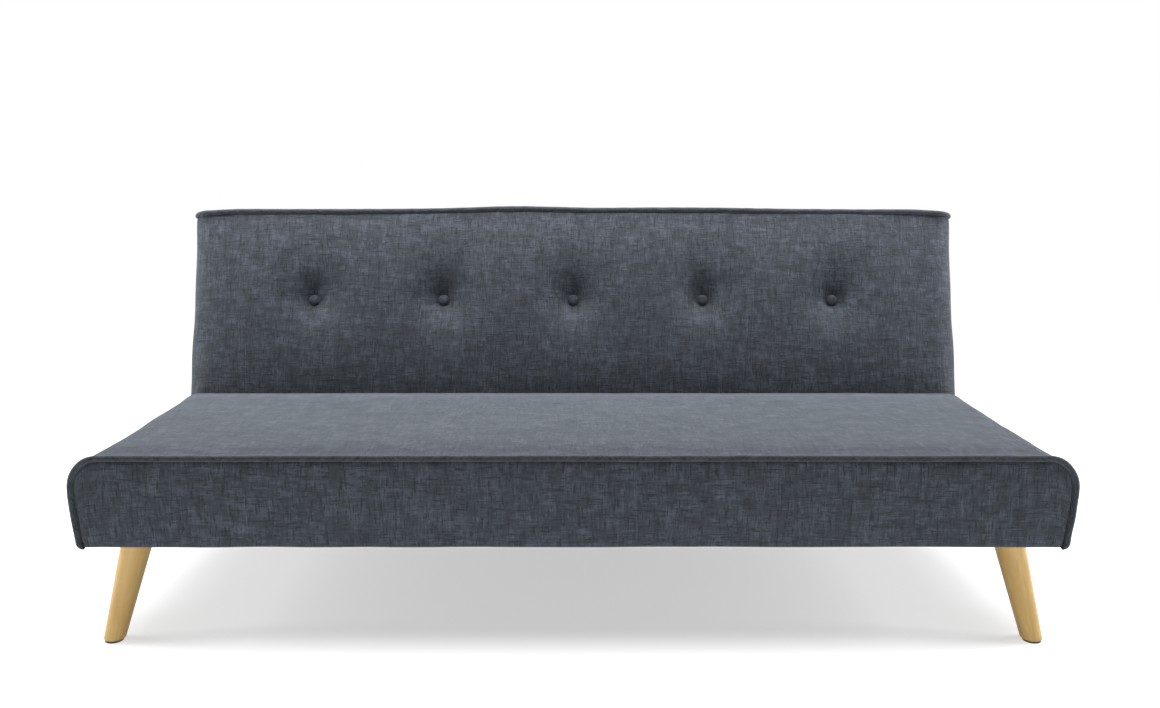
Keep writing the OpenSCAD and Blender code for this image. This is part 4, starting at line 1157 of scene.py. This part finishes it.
def seen(n):
    """1 for camera, glossy and transmitted rays, which meet the white studio."""
    path = n.tree.nodes.new("ShaderNodeLightPath")
    rays = n.math("MAXIMUM", path.outputs["Is Glossy Ray"], path.outputs["Is Transmission Ray"])
    return n.math("MAXIMUM", path.outputs["Is Camera Ray"], rays)


# The floor glows white for camera, glossy and transmitted rays, but less under the sofa, which is a painted
# shadow there. The lamps' real shadow also falls on its grey diffuse part.
def floor_material():
    n = Nodes("studio_floor", roughness=0.9, base_color=grey(0.55), specular_ior_level=0.0)
    x, y = n.split(n.place())
    # masks of the painted shadow, which is widened towards the sofa's front
    wider = n.math("MINIMUM", n.math("SUBTRACT", y, FRONT + 0.23), 0.0)
    aside = n.total((n.math("ABSOLUTE", x), 1.0), (wider, 0.4))
    ways = (aside, PAINTED_SHADOW_END_ASIDE), (y, PAINTED_SHADOW_END_AHEAD), (y, PAINTED_SHADOW_END_BEHIND)
    beside, ahead, behind = (n.add("MapRange", way, From_Min=a, From_Max=b) for way, (a, b) in ways)
    beyond_painted_shadow = n.math("MAXIMUM", n.math("MAXIMUM", beside, ahead), behind)
    glow_with_painted_shadow = n.add("MapRange", beyond_painted_shadow, To_Min=PAINTED_SHADOW_GLOW, To_Max=1.0, interpolation_type="SMOOTHSTEP")
    return n.set(emission_color=grey(1.0), emission_strength=n.math("MULTIPLY", glow_with_painted_shadow, seen(n)))


floor_mesh.materials.append(floor_material())

world = bpy.data.worlds.new("studio")
scene.world = world
world.use_nodes = True
studio = Tree(world.node_tree)
background = studio.tree.nodes["Background"]
background.inputs[0].default_value = grey(1.0)
studio.feed(background.inputs[1], studio.spread(seen(studio), 0.03, 1.0))


def area(name, at, aim, wide, deep, power):
    light = bpy.data.lights.new(name, "AREA")
    light.shape = "RECTANGLE"
    light.size = wide
    light.size_y = deep
    light.energy = power
    lamp = new_object(name, light)
    lamp.location = at
    lamp.rotation_euler = (Vector(aim) - Vector(at)).to_track_quat("-Z", "Y").to_euler()
    lamp.visible_camera = False


area("overhead", (0, 0.14, 1.45), (0, 0.14, 0.3), 2.6, 0.5, 30)
area("left_side", (-2.7, -0.05, 0.95), (0, 0.15, 0.5), 1.0, 1.2, 45)
area("right_side", (2.7, -0.05, 0.95), (0, 0.15, 0.5), 1.0, 1.2, 46)
area("floor_bounce", (0, -0.98, 0.02), (0, -0.4, 0.25), 3.2, 0.4, 14.5)

camera_data = bpy.data.cameras.new("camera")
camera_data.sensor_width = 36
camera_data.lens = 32.07
camera_data.shift_x = 0.006
camera = new_object("camera", camera_data)
camera.location = (0, FRONT - 1.750, 0.884)
camera.rotation_euler = (math.radians(90 - 10.62), 0, 0)
scene.camera = camera
scene.view_settings.view_transform = "Standard"
